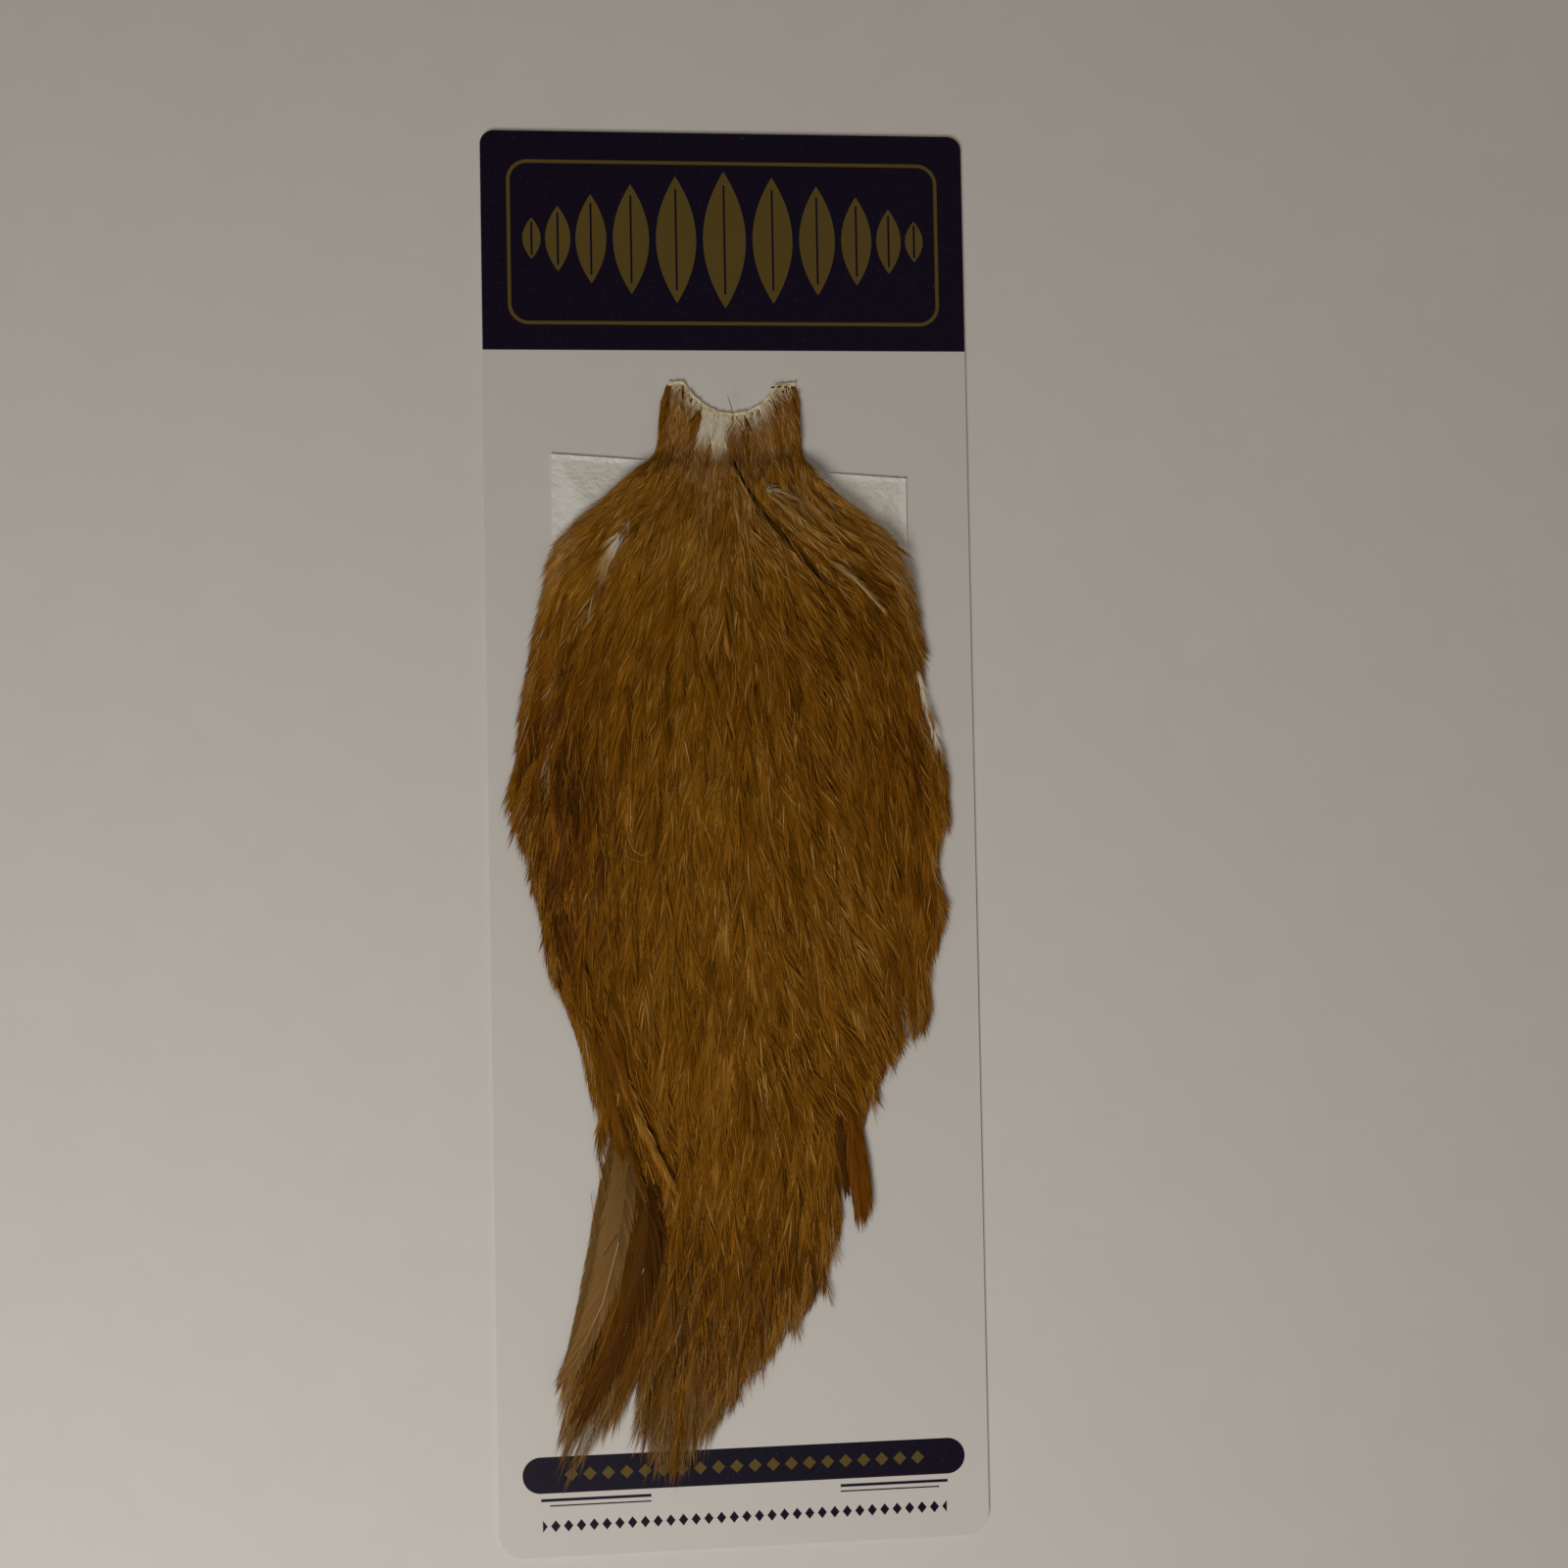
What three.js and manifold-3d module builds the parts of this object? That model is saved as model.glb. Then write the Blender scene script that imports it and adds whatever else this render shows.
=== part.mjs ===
// Rooster cape on its backing card, in millimetres.
// The card lies on its back: +Z up, +Y towards the header of the card.
// The origin is the middle of the card's back.

import * as THREE from 'three';
import { mergeVertices } from 'three/addons/utils/BufferGeometryUtils.js';
import Module from 'manifold-3d';

const wasm = await Module();
wasm.setup();

// Driving dimensions
const cardWidth = 139.7;
const cardLength = 406.4;
const cardThickness = 0.7;
const cardTopRadius = 4;
const cardBottomRadius = 7;

const gap = 0.3; // between pieces that lie on each other
const padRoom = 0.55; // swelling that keeps the whole pad a gap away from the cape

const padWidth = 101.6;
const padTop = 105.8; // middle of the pad's upper edge
const padBottom = -21;
const padCentreX = 0.9;
const padTopSlope = -0.07; // the upper edge is cut a little out of square
const padThickness = 3;
const padCornerRadius = 6;
const padEdgeThickness = 1.2;
const padCrown = 14; // width of the rounded margin around the flat middle

const neckY = 130.4; // tops of the two horns of skin beside the neck cut
const neckCentreX = 1.5;
const scoopDepth = 9; // the neck cut dips this far between the horns
const scoopWidth = 28.4; // between the inner corners of the horns
const scoopFade = 26; // length over which the scoop's curve straightens out
const rootMargin = 3; // no lock starts nearer than this to the neck cut
const moundEndY = -146; // the solid coat ends here and the tail locks go on
const moundTaper = 40; // length of the coat's narrowing end
const moundEndShare = 0.7; // how much of its width the coat keeps there
const edgeInset = 4.5; // the coat stops this far inside the feather tips
const edgeThickness = 1.2;

const lockThickness = 1.3; // height of a lock over the coat that it lies on
const lockKeel = 3.2; // depth of a lock's root inside the coat
const tipThickness = 0.5;

// Outline of the feather tips, from the neck down, as [y, left x, right x]
const outline = [
  [130.4, -16.8, 19.9],
  [123, -19.2, 21.2],
  [116, -20.5, 21.3],
  [109, -23, 22.5],
  [102, -31, 27],
  [95, -38.5, 35.5],
  [88, -46.2, 44.5],
  [81, -50.6, 50.2],
  [68, -54.7, 53.8],
  [54, -58.2, 56.4],
  [33, -60, 57.2],
  [12, -64.8, 62],
  [-8, -59.2, 60],
  [-25, -55.6, 60.2],
  [-43, -52, 55.6],
  [-57, -46.2, 53.6],
  [-64, -44.4, 44],
  [-80, -40.8, 37],
  [-106, -42.6, 36],
  [-126, -46, 27.8],
  [-146, -50.8, 12.5],
  [-167, -53, -11],
];

// Height of the coat's top over the card along the middle, as [y, z]
const crown = [
  [130, 5],
  [120, 7.4],
  [105, 11],
  [85, 14.4],
  [55, 17],
  [25, 17.2],
  [-5, 15.2],
  [-40, 11.6],
  [-80, 8],
  [-120, 5],
  [-150, 3],
  [-190, 2],
];

// Combing of the feathers, as [x, y, degrees from straight down, plus to the right]
const combing = [
  [-15, 120, -10],
  [2, 114, 2],
  [18, 120, 12],
  [-29, 98, -44],
  [-46, 82, -50],
  [29, 94, 46],
  [46, 78, 44],
  [0, 92, 0],
  [-30, 78, -32],
  [-54, 54, -24],
  [-60, 14, -18],
  [-57, -10, -8],
  [-53, -28, 2],
  [-45, -52, 12],
  [-40, -82, 12],
  [-44, -123, -8],
  [-48, -160, -18],
  [-28, 30, -8],
  [0, 60, 0],
  [22, 60, 26],
  [53, 50, 18],
  [58, 16, 12],
  [59, -12, 2],
  [52, -50, 4],
  [0, 10, 0],
  [28, 10, 14],
  [36, -30, 22],
  [-28, -30, 0],
  [-30, -64, 4],
  [-6, -60, 0],
  [34, -66, 20],
  [30, -98, 0],
  [0, -96, -8],
  [-18, -124, -10],
  [12, -126, -6],
  [-28, -160, -12],
];

// Rows of locks from the tail end up, as [tip y, locks, length, width]
const rows = [
  [-122, 6, 66, 14],
  [-98, 6, 66, 14],
  [-73, 6, 64, 14.5],
  [-48, 6, 60, 15.5],
  [-22, 6, 58, 16.5],
  [4, 6, 56, 17],
  [30, 6, 52, 17],
  [54, 6, 44, 16],
  [76, 5, 34, 14.5],
  [96, 5, 26, 11],
  [111, 4, 18, 8],
];

// Locks whose tips stand out of the rows, as [tip x, tip y, length, width]
const singleLocks = [
  [-51, -147, 50, 11],
  [-54.4, -166.5, 66, 12],
  [-50.2, -186.2, 76, 12],
  [-44.3, -174, 66, 13],
  [-36.5, -168.5, 60, 13],
  [-31, -173.5, 60, 11],
  [-24, -187, 72, 13],
  [-17.2, -183.6, 66, 12],
  [-9.5, -170, 62, 14],
  [-2, -162, 58, 14],
  [9.6, -155, 56, 14],
  [18, -144.5, 52, 13],
  [27.8, -132, 48, 12],
  [35.6, -113.6, 44, 11],
  [53.6, -60, 34, 8],
];

const jitterSeed = 7;

// Seeded numbers between -1 and 1, so that every build is the same
function makeJitter(seed) {
  let state = seed;
  return () => {
    state = (state * 1103515245 + 12345) % 2147483648;
    return (state / 2147483648) * 2 - 1;
  };
}

// Value of one column of a table, read between its rows
function lookUp(table, y, column) {
  const last = table.length - 1;
  if (y >= table[0][0]) return table[0][column];
  if (y <= table[last][0]) return table[last][column];
  const below = table.findIndex((row) => row[0] <= y);
  const upper = table[below - 1];
  const lower = table[below];
  const share = (upper[0] - y) / (upper[0] - lower[0]);
  return THREE.MathUtils.lerp(upper[column], lower[column], share);
}

// Direction in which the feathers lie at a point of the cape
function flow(x, y) {
  const reach = 14;
  let total = 0;
  let sum = 0;
  for (const [strokeX, strokeY, degrees] of combing) {
    const distance = Math.hypot(x - strokeX, y - strokeY) / reach;
    const weight = 1 / (0.05 + distance ** 4);
    total += weight;
    sum += weight * degrees;
  }
  const angle = THREE.MathUtils.degToRad(sum / total);
  return new THREE.Vector2(Math.sin(angle), -Math.cos(angle));
}

// Lowest level that the cape may have: clear of the card and, over it, of the pad
function restLevel(x, y) {
  const edge = padWidth / 2;
  const inside = Math.min(edge - Math.abs(x - padCentreX), padTop - y, y - padBottom);
  const share = THREE.MathUtils.smoothstep(inside, -6, 4);
  return cardThickness + gap + share * (padThickness + gap);
}

// Top of the coat at a point, falling from the middle to a thin edge
function coatLevel(x, y) {
  const left = lookUp(outline, y, 1) + edgeInset;
  const right = lookUp(outline, y, 2) - edgeInset;
  const centre = (left + right) / 2;
  const halfWidth = (right - left) / 2;
  const across = Math.min(1, Math.abs((x - centre) / halfWidth));
  const edge = restLevel(x, y) + edgeThickness;
  const middle = Math.max(edge, lookUp(crown, y, 1));
  return edge + (middle - edge) * (1 - across ** 2.2) ** 0.8;
}

// Edge of the neck cut between the two horns
function neckCut(x) {
  const across = Math.min(1, Math.abs(x - neckCentreX) / (scoopWidth / 2));
  return neckY - scoopDepth * (1 - across ** 2);
}

function geometryFrom(positions, indices) {
  const geometry = new THREE.BufferGeometry();
  geometry.setAttribute('position', new THREE.Float32BufferAttribute(positions, 3));
  geometry.setIndex(indices);
  return geometry;
}

// Closed solid between two grids of points with the same rows and columns
function slab(top, bottom) {
  const rowCount = top.length;
  const columnCount = top[0].length;
  const positions = [...top.flat(), ...bottom.flat()].flatMap((p) => p.toArray());
  const below = rowCount * columnCount;
  const indices = [];
  const quad = (a, b, c, d) => indices.push(a, b, c, a, c, d);
  for (let row = 0; row < rowCount - 1; row++) {
    for (let column = 0; column < columnCount - 1; column++) {
      const a = row * columnCount + column;
      const b = a + columnCount;
      quad(a, b, b + 1, a + 1);
      quad(below + a, below + a + 1, below + b + 1, below + b);
    }
    const first = row * columnCount;
    const last = first + columnCount - 1;
    quad(first, below + first, below + first + columnCount, first + columnCount);
    quad(last, last + columnCount, below + last + columnCount, below + last);
  }
  const lastRow = (rowCount - 1) * columnCount;
  for (let column = 0; column < columnCount - 1; column++) {
    quad(column, column + 1, below + column + 1, below + column);
    const a = lastRow + column;
    quad(a, below + a, below + a + 1, a + 1);
  }
  return geometryFrom(positions, indices);
}

// Closed solid through rings of points, closed to one point at each end
function loft(rings, start, end) {
  const count = rings[0].length;
  const positions = [...rings.flat(), start, end].flatMap((p) => p.toArray());
  const startIndex = rings.length * count;
  const endIndex = startIndex + 1;
  const lastRing = (rings.length - 1) * count;
  const indices = [];
  for (let i = 0; i < count; i++) {
    const next = (i + 1) % count;
    for (let ring = 0; ring < lastRing; ring += count) {
      const a = ring + i;
      const b = ring + next;
      indices.push(a, b, b + count, a, b + count, a + count);
    }
    indices.push(startIndex, next, i);
    indices.push(endIndex, lastRing + i, lastRing + next);
  }
  return geometryFrom(positions, indices);
}

function toSolid(geometry) {
  const bare = geometry.clone();
  bare.deleteAttribute('normal');
  bare.deleteAttribute('uv');
  const merged = mergeVertices(bare, 1e-4);
  const vertProperties = new Float32Array(merged.attributes.position.array);
  const triVerts = new Uint32Array(merged.index.array);
  return new wasm.Manifold(new wasm.Mesh({ numProp: 3, vertProperties, triVerts }));
}

function fromSolid(solid) {
  const mesh = solid.getMesh();
  const geometry = geometryFrom(Array.from(mesh.vertProperties), Array.from(mesh.triVerts));
  geometry.computeVertexNormals();
  return geometry;
}

// Points of a rounded four-sided outline around its corners, counter-clockwise
function roundedOutline(corners, radius, steps) {
  const points = [];
  corners.forEach((corner, i) => {
    const before = corners[(i + corners.length - 1) % corners.length];
    const after = corners[(i + 1) % corners.length];
    const from = corner.clone().add(before.clone().sub(corner).setLength(radius));
    const to = corner.clone().add(after.clone().sub(corner).setLength(radius));
    const arc = new THREE.QuadraticBezierCurve(from, corner, to);
    points.push(...arc.getPoints(steps));
  });
  return points;
}

// Flat backing card with round corners
function cardGeometry() {
  const x = cardWidth / 2;
  const y = cardLength / 2;
  const top = cardTopRadius;
  const bottom = cardBottomRadius;
  const shape = new THREE.Shape();
  shape.moveTo(-x + bottom, -y);
  shape.lineTo(x - bottom, -y);
  shape.absarc(x - bottom, -y + bottom, bottom, -Math.PI / 2, 0);
  shape.lineTo(x, y - top);
  shape.absarc(x - top, y - top, top, 0, Math.PI / 2);
  shape.lineTo(-x + top, y);
  shape.absarc(-x + top, y - top, top, Math.PI / 2, Math.PI);
  shape.lineTo(-x, -y + bottom);
  shape.absarc(-x + bottom, -y + bottom, bottom, Math.PI, Math.PI * 1.5);
  return new THREE.ExtrudeGeometry(shape, {
    depth: cardThickness,
    bevelEnabled: false,
    curveSegments: 6,
  });
}

// Absorbent pad: a low pillow with a thin edge. Its swelling makes the room
// around it that the cape keeps clear of.
function padGeometry(swelling) {
  const half = padWidth / 2;
  const drop = padTopSlope * half;
  const corners = [
    new THREE.Vector2(padCentreX - half, padBottom),
    new THREE.Vector2(padCentreX + half, padBottom),
    new THREE.Vector2(padCentreX + half, padTop + drop),
    new THREE.Vector2(padCentreX - half, padTop - drop),
  ];
  const middle = new THREE.Vector2(padCentreX, (padTop + padBottom) / 2);
  const edge = roundedOutline(corners, padCornerRadius, 4);
  const ring = (inset, z) => edge.map((point) => {
    const inwards = middle.clone().sub(point).setLength(inset);
    return new THREE.Vector3(point.x + inwards.x, point.y + inwards.y, z);
  });
  const low = cardThickness + gap - swelling;
  const high = cardThickness + gap + padThickness + swelling;
  const rings = [
    ring(2 - swelling, low),
    ring(-swelling, low + padEdgeThickness + swelling * 2),
    ring(padCrown * 0.35 - swelling, high - 0.5),
    ring(padCrown - swelling, high),
  ];
  const start = new THREE.Vector3(middle.x, middle.y, low);
  const end = new THREE.Vector3(middle.x, middle.y, high);
  return loft(rings, start, end);
}

// Skin and coat: one mound from the scooped neck cut to the tail
function moundGeometry() {
  const stations = 22;
  const columns = 12;
  const top = [];
  const bottom = [];
  for (let station = 0; station <= stations; station++) {
    const stationY = THREE.MathUtils.lerp(neckY, moundEndY, station / stations);
    const topRow = [];
    const bottomRow = [];
    const nearNeck = Math.max(0, 1 - (neckY - stationY) / scoopFade);
    const nearEnd = Math.max(0, 1 - (stationY - moundEndY) / moundTaper);
    const inset = edgeInset * (1 - nearNeck);
    const left = lookUp(outline, stationY, 1) + inset;
    const right = lookUp(outline, stationY, 2) - inset;
    const centre = (left + right) / 2;
    const halfWidth = ((right - left) / 2) * (1 - (1 - moundEndShare) * nearEnd ** 2);
    for (let column = 0; column <= columns; column++) {
      const across = (column / columns) * 2 - 1;
      const x = centre + across * halfWidth;
      const y = stationY - (neckY - neckCut(x)) * nearNeck;
      topRow.push(new THREE.Vector3(x, y, coatLevel(x, y)));
      bottomRow.push(new THREE.Vector3(x, y, cardThickness + gap));
    }
    top.push(topRow);
    bottom.push(bottomRow);
  }
  return slab(top, bottom);
}

// Length that a lock has room for between its tip and the neck cut
function reachBack(tipX, tipY, length) {
  const point = new THREE.Vector2(tipX, tipY);
  let reached = 0;
  while (reached < length && point.y < neckCut(point.x) - rootMargin) {
    point.addScaledVector(flow(point.x, point.y), -1);
    reached += 1;
  }
  return reached;
}

// One lock of feathers: from a buried root to a thin pointed tip that lies on
// the coat, or on the card past the coat's edge
function lockGeometry(tipX, tipY, length, width) {
  const steps = 6;
  const stepLength = reachBack(tipX, tipY, length) / steps;
  const path = [new THREE.Vector2(tipX, tipY)];
  for (let step = 0; step < steps; step++) {
    const point = path[0];
    path.unshift(point.clone().addScaledVector(flow(point.x, point.y), -stepLength));
  }
  const levelAt = (x, y) => Math.max(coatLevel(x, y), restLevel(x, y) + tipThickness);
  const rings = path.slice(0, -1).map((point, step) => {
    const along = step / steps;
    const ahead = flow(point.x, point.y);
    const side = new THREE.Vector2(-ahead.y, ahead.x);
    const swell = Math.sin(Math.PI * (0.2 + along * 0.74));
    const halfWidth = (width / 2) * swell * (1 - 0.4 * along ** 3);
    const left = lookUp(outline, point.y, 1) + halfWidth;
    const right = lookUp(outline, point.y, 2) - halfWidth;
    const centreX = Math.min(right, Math.max(left, point.x));
    const rise = lockThickness * (THREE.MathUtils.smoothstep(along, 0, 0.55) * 1.6 - 0.6);
    const keel = THREE.MathUtils.lerp(lockKeel, tipThickness, along ** 2);
    const at = (sideways, lift) => {
      const x = centreX + side.x * sideways;
      const y = point.y + side.y * sideways;
      return new THREE.Vector3(x, y, levelAt(x, y) + rise + lift);
    };
    return [
      at(halfWidth, -0.8),
      at(halfWidth * 0.35, 0.35),
      at(-halfWidth * 0.35, 0.35),
      at(-halfWidth, -0.8),
      at(0, -keel - 1),
    ];
  });
  const tip = path[steps];
  const root = path[0];
  const start = new THREE.Vector3(root.x, root.y, levelAt(root.x, root.y) - 2);
  const end = new THREE.Vector3(tip.x, tip.y, levelAt(tip.x, tip.y) + tipThickness / 2);
  return loft(rings, start, end);
}

// Places of all locks: rows from edge to edge, then the single ones
function lockPlaces() {
  const jitter = makeJitter(jitterSeed);
  const places = [];
  for (const [rowY, count, length, width] of rows) {
    for (let i = 0; i < count; i++) {
      const share = i / (count - 1);
      const onEdge = i === 0 || i === count - 1;
      const y = rowY + jitter() * 5;
      const left = lookUp(outline, y, 1);
      const right = lookUp(outline, y, 2);
      const x = THREE.MathUtils.lerp(left, right, share) + (onEdge ? 0 : jitter() * 3);
      places.push([x, y, length * (1 + jitter() * 0.1), width * (1 + jitter() * 0.12)]);
    }
  }
  return [...places, ...singleLocks];
}

// Everything lower than the cape may lie: the slab of the card and the pad's room
function roomBelow() {
  const deep = 20;
  const slabBelow = new THREE.BoxGeometry(cardWidth * 2, cardLength * 2, deep);
  slabBelow.translate(0, 0, cardThickness + gap - deep / 2);
  return toSolid(slabBelow).add(toSolid(padGeometry(padRoom)));
}

// The cape: mound and locks joined, with the room of card and pad taken off
function capeGeometry() {
  let cape = toSolid(moundGeometry());
  for (const place of lockPlaces()) cape = cape.add(toSolid(lockGeometry(...place)));
  cape = cape.subtract(roomBelow());
  const bodies = cape.decompose().sort((a, b) => b.volume() - a.volume());
  return fromSolid(bodies[0]);
}

function named(name, geometry, colour, roughness) {
  const material = new THREE.MeshStandardMaterial({ color: colour, roughness, metalness: 0 });
  const mesh = new THREE.Mesh(geometry, material);
  mesh.name = name;
  return mesh;
}

const group = new THREE.Group();
group.add(named('card', cardGeometry(), 0xe4dfd6, 0.6));
group.add(named('pad', padGeometry(0), 0xf2efe8, 0.3));
group.add(named('cape', capeGeometry(), 0x8a5518, 0.7));

export default group;
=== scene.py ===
import math

import bpy
import numpy as np
from mathutils import Matrix


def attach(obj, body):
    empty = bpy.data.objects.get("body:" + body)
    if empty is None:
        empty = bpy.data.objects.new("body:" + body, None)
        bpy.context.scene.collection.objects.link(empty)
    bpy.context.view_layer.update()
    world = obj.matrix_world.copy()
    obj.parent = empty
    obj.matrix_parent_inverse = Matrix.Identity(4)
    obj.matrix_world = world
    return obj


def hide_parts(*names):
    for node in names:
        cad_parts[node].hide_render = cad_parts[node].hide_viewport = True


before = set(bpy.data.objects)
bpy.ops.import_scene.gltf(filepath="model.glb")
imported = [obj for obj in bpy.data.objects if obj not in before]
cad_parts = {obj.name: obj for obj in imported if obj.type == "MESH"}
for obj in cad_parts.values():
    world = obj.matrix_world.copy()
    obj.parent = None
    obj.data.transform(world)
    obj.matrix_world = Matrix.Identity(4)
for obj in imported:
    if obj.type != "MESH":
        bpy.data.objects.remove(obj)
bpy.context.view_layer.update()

# A rooster cape on its printed card, seen from straight above.
# Lists of places and sizes are in millimetres; mm turns them into Blender's metres.

mm = 0.001


# Shader maths

class Wire:
    # one output of a node, so that maths on it reads as an expression
    def __init__(self, look, socket):
        self.look = look
        self.socket = socket

    def __add__(self, other):
        return self.look.maths("ADD", self, other)

    def __sub__(self, other):
        return self.look.maths("SUBTRACT", self, other)

    def __rsub__(self, other):
        return self.look.maths("SUBTRACT", other, self)

    def __mul__(self, other):
        return self.look.maths("MULTIPLY", self, other)

    def __truediv__(self, other):
        return self.look.maths("DIVIDE", self, other)

    def __abs__(self):
        return self.look.maths("ABSOLUTE", self)

    __radd__ = __add__
    __rmul__ = __mul__


class Look:
    # a material with one Principled shader, and the ways to add nodes to it
    def __init__(self, name, **constants):
        self.material = bpy.data.materials.new(name)
        self.material.use_nodes = True
        self.tree = self.material.node_tree
        self.tree.nodes.clear()
        self.shader = self.tree.nodes.new("ShaderNodeBsdfPrincipled")
        output = self.tree.nodes.new("ShaderNodeOutputMaterial")
        self.tree.links.new(self.shader.outputs[0], output.inputs[0])
        for socketName, value in constants.items():
            self.put(self.shader, socketName.replace("_", " "), value)

    def put(self, node, key, value):
        if isinstance(value, Wire):
            self.tree.links.new(value.socket, node.inputs[key])
        elif isinstance(value, tuple) and len(value) == 3 and node.inputs[key].type == "RGBA":
            node.inputs[key].default_value = (*value, 1)
        else:
            node.inputs[key].default_value = value

    def add(self, kind, settings=None, inputs=None, output=0):
        node = self.tree.nodes.new(kind)
        for key, value in (settings or {}).items():
            setattr(node, key, value)
        for key, value in (inputs or {}).items():
            self.put(node, key, value)
        return Wire(self, node.outputs[output])

    def ramp(self, tone, stops):
        # a colour ramp over tone, given as (place, colour) stops
        colour = self.add("ShaderNodeValToRGB", None, {0: tone})
        elements = colour.socket.node.color_ramp.elements
        while len(elements) < len(stops):
            elements.new(1)
        for element, (place, value) in zip(elements, stops):
            element.position = place
            element.color = (*value, 1)
        return colour

    def maths(self, operation, *values):
        return self.add("ShaderNodeMath", {"operation": operation}, dict(enumerate(values)))

    def greater(self, a, b):
        return self.maths("GREATER_THAN", a, b)

    def most(self, a, b):
        return self.maths("MAXIMUM", a, b)

    def least(self, a, b):
        return self.maths("MINIMUM", a, b)

    def soften(self, value, low, high):
        # 0 at low and 1 at high, with a smooth step between them
        settings = {"interpolation_type": "SMOOTHSTEP"}
        return self.add("ShaderNodeMapRange", settings, {"Value": value, "From Min": low, "From Max": high})

    def mix(self, factor, a, b):
        return self.add("ShaderNodeMix", {"data_type": "RGBA"}, {0: factor, 6: a, 7: b}, 2)

    def parts(self, vector):
        # x, y and z of a vector
        split = self.add("ShaderNodeSeparateXYZ", None, {0: vector})
        return [Wire(self, socket) for socket in split.socket.node.outputs]

    def place(self):
        # the point's own place, then its x, y and z
        spot = self.add("ShaderNodeTexCoord", output="Object")
        return spot, *self.parts(spot)

    def noise(self, spot, scale, detail, rough, stretch=None):
        if stretch:
            spot = self.add("ShaderNodeMapping", None, {"Vector": spot, "Scale": stretch})
        values = {"Vector": spot, "Scale": scale, "Detail": detail, "Roughness": rough}
        return self.add("ShaderNodeTexNoise", None, values)

    def bump(self, height, distance, strength):
        values = {"Height": height, "Distance": distance, "Strength": strength}
        self.feed("Normal", self.add("ShaderNodeBump", None, values))

    def feed(self, socketName, value):
        self.put(self.shader, socketName, value)

    def roundBox(self, x, y, centre, half, radius):
        # distance to a round-cornered rectangle, less than 0 inside it
        acrossX = abs(x - centre[0] * mm) - (half[0] - radius) * mm
        acrossY = abs(y - centre[1] * mm) - (half[1] - radius) * mm
        outX = self.most(acrossX, 0)
        outY = self.most(acrossY, 0)
        out = self.maths("SQRT", outX * outX + outY * outY)
        return out + self.least(self.most(acrossX, acrossY), 0) - radius * mm


def link(name, data):
    # a new object in the scene
    made = bpy.data.objects.new(name, data)
    bpy.context.scene.collection.objects.link(made)
    return made


def meshPiece(name, points, triangles, material, uv=None):
    # one mesh from arrays of points in millimetres and triangles, with a map if uv gives a pair a point
    mesh = bpy.data.meshes.new(name)
    mesh.vertices.add(len(points))
    mesh.vertices.foreach_set("co", np.asarray(points * mm, np.float32).ravel())
    corners = np.asarray(triangles, np.int32).ravel()
    mesh.loops.add(len(corners))
    mesh.loops.foreach_set("vertex_index", corners)
    mesh.polygons.add(len(triangles))
    mesh.polygons.foreach_set("loop_start", np.arange(0, len(corners), 3, dtype=np.int32))
    mesh.update(calc_edges=True)
    mesh.validate()
    mesh.polygons.foreach_set("use_smooth", np.full(len(triangles), True))
    if uv is not None:
        layer = mesh.uv_layers.new(name="OFBake")
        layer.data.foreach_set("uv", np.asarray(uv, np.float32)[corners].ravel())
    mesh.materials.append(material)
    piece = link(name, mesh)
    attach(piece, "root")
    return piece


def closedSheet(x, y, top, bottom, flip=False):
    # points and triangles of a solid between two sheets over one grid of places
    rows, columns = x.shape
    count = rows * columns
    points = np.concatenate([np.stack([x, y, level], -1).reshape(-1, 3) for level in (top, bottom)])
    index = np.arange(count).reshape(rows, columns)
    a, b = index[:-1, :-1].ravel(), index[:-1, 1:].ravel()
    c, d = index[1:, 1:].ravel(), index[1:, :-1].ravel()
    upper = np.concatenate([np.stack([a, b, c], 1), np.stack([a, c, d], 1)])
    rim = np.concatenate([index[0], index[1:, -1], index[-1, -2::-1], index[-2:0:-1, 0]])
    after = np.roll(rim, -1)
    walls = [np.stack([rim, rim + count, after + count], 1), np.stack([rim, after + count, after], 1)]
    triangles = np.concatenate([upper, upper[:, ::-1] + count, *walls])
    return points, triangles[:, ::-1] if flip else triangles


# Camera

cameraLook = {
    "place": (-21.7, 3.1, 463.0),
    "yaw": -4.47,
    "pitch": 1.33,
    "roll": -1.05,
    "lens": 36.9,
}


def makeCamera(look):
    data = bpy.data.cameras.new("camera")
    data.lens = look["lens"]
    data.sensor_width = 36
    data.clip_start = 0.01
    camera = link("camera", data)
    turn = (
        Matrix.Rotation(math.radians(look["yaw"]), 4, "Y")
        @ Matrix.Rotation(math.radians(look["pitch"]), 4, "X")
        @ Matrix.Rotation(math.radians(look["roll"]), 4, "Z")
    )
    camera.matrix_world = Matrix.Translation([v * mm for v in look["place"]]) @ turn
    bpy.context.scene.camera = camera


makeCamera(cameraLook)


# Form of the coat

coat = {
    "edgeThickness": 1.2,
    "edgeInset": 4.5,
    "partingDepth": 3.0,
    "partingWidth": 2.6,
    "ripple": 0.5,  # height of the soft swells in the coat
    "locks": 1.5,  # and of the ridges along the feathers
    "neckRise": 46,  # the coat swells to its full height over this much below the neck cut
    "padSize": (101.6, 0.9, 105.8, -21.0),  # width, middle, top and bottom of the pad
    "padLevel": 4.3,  # the cape's lowest level over the pad
    "cardLevel": 1.0,  # and over the card
}

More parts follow.
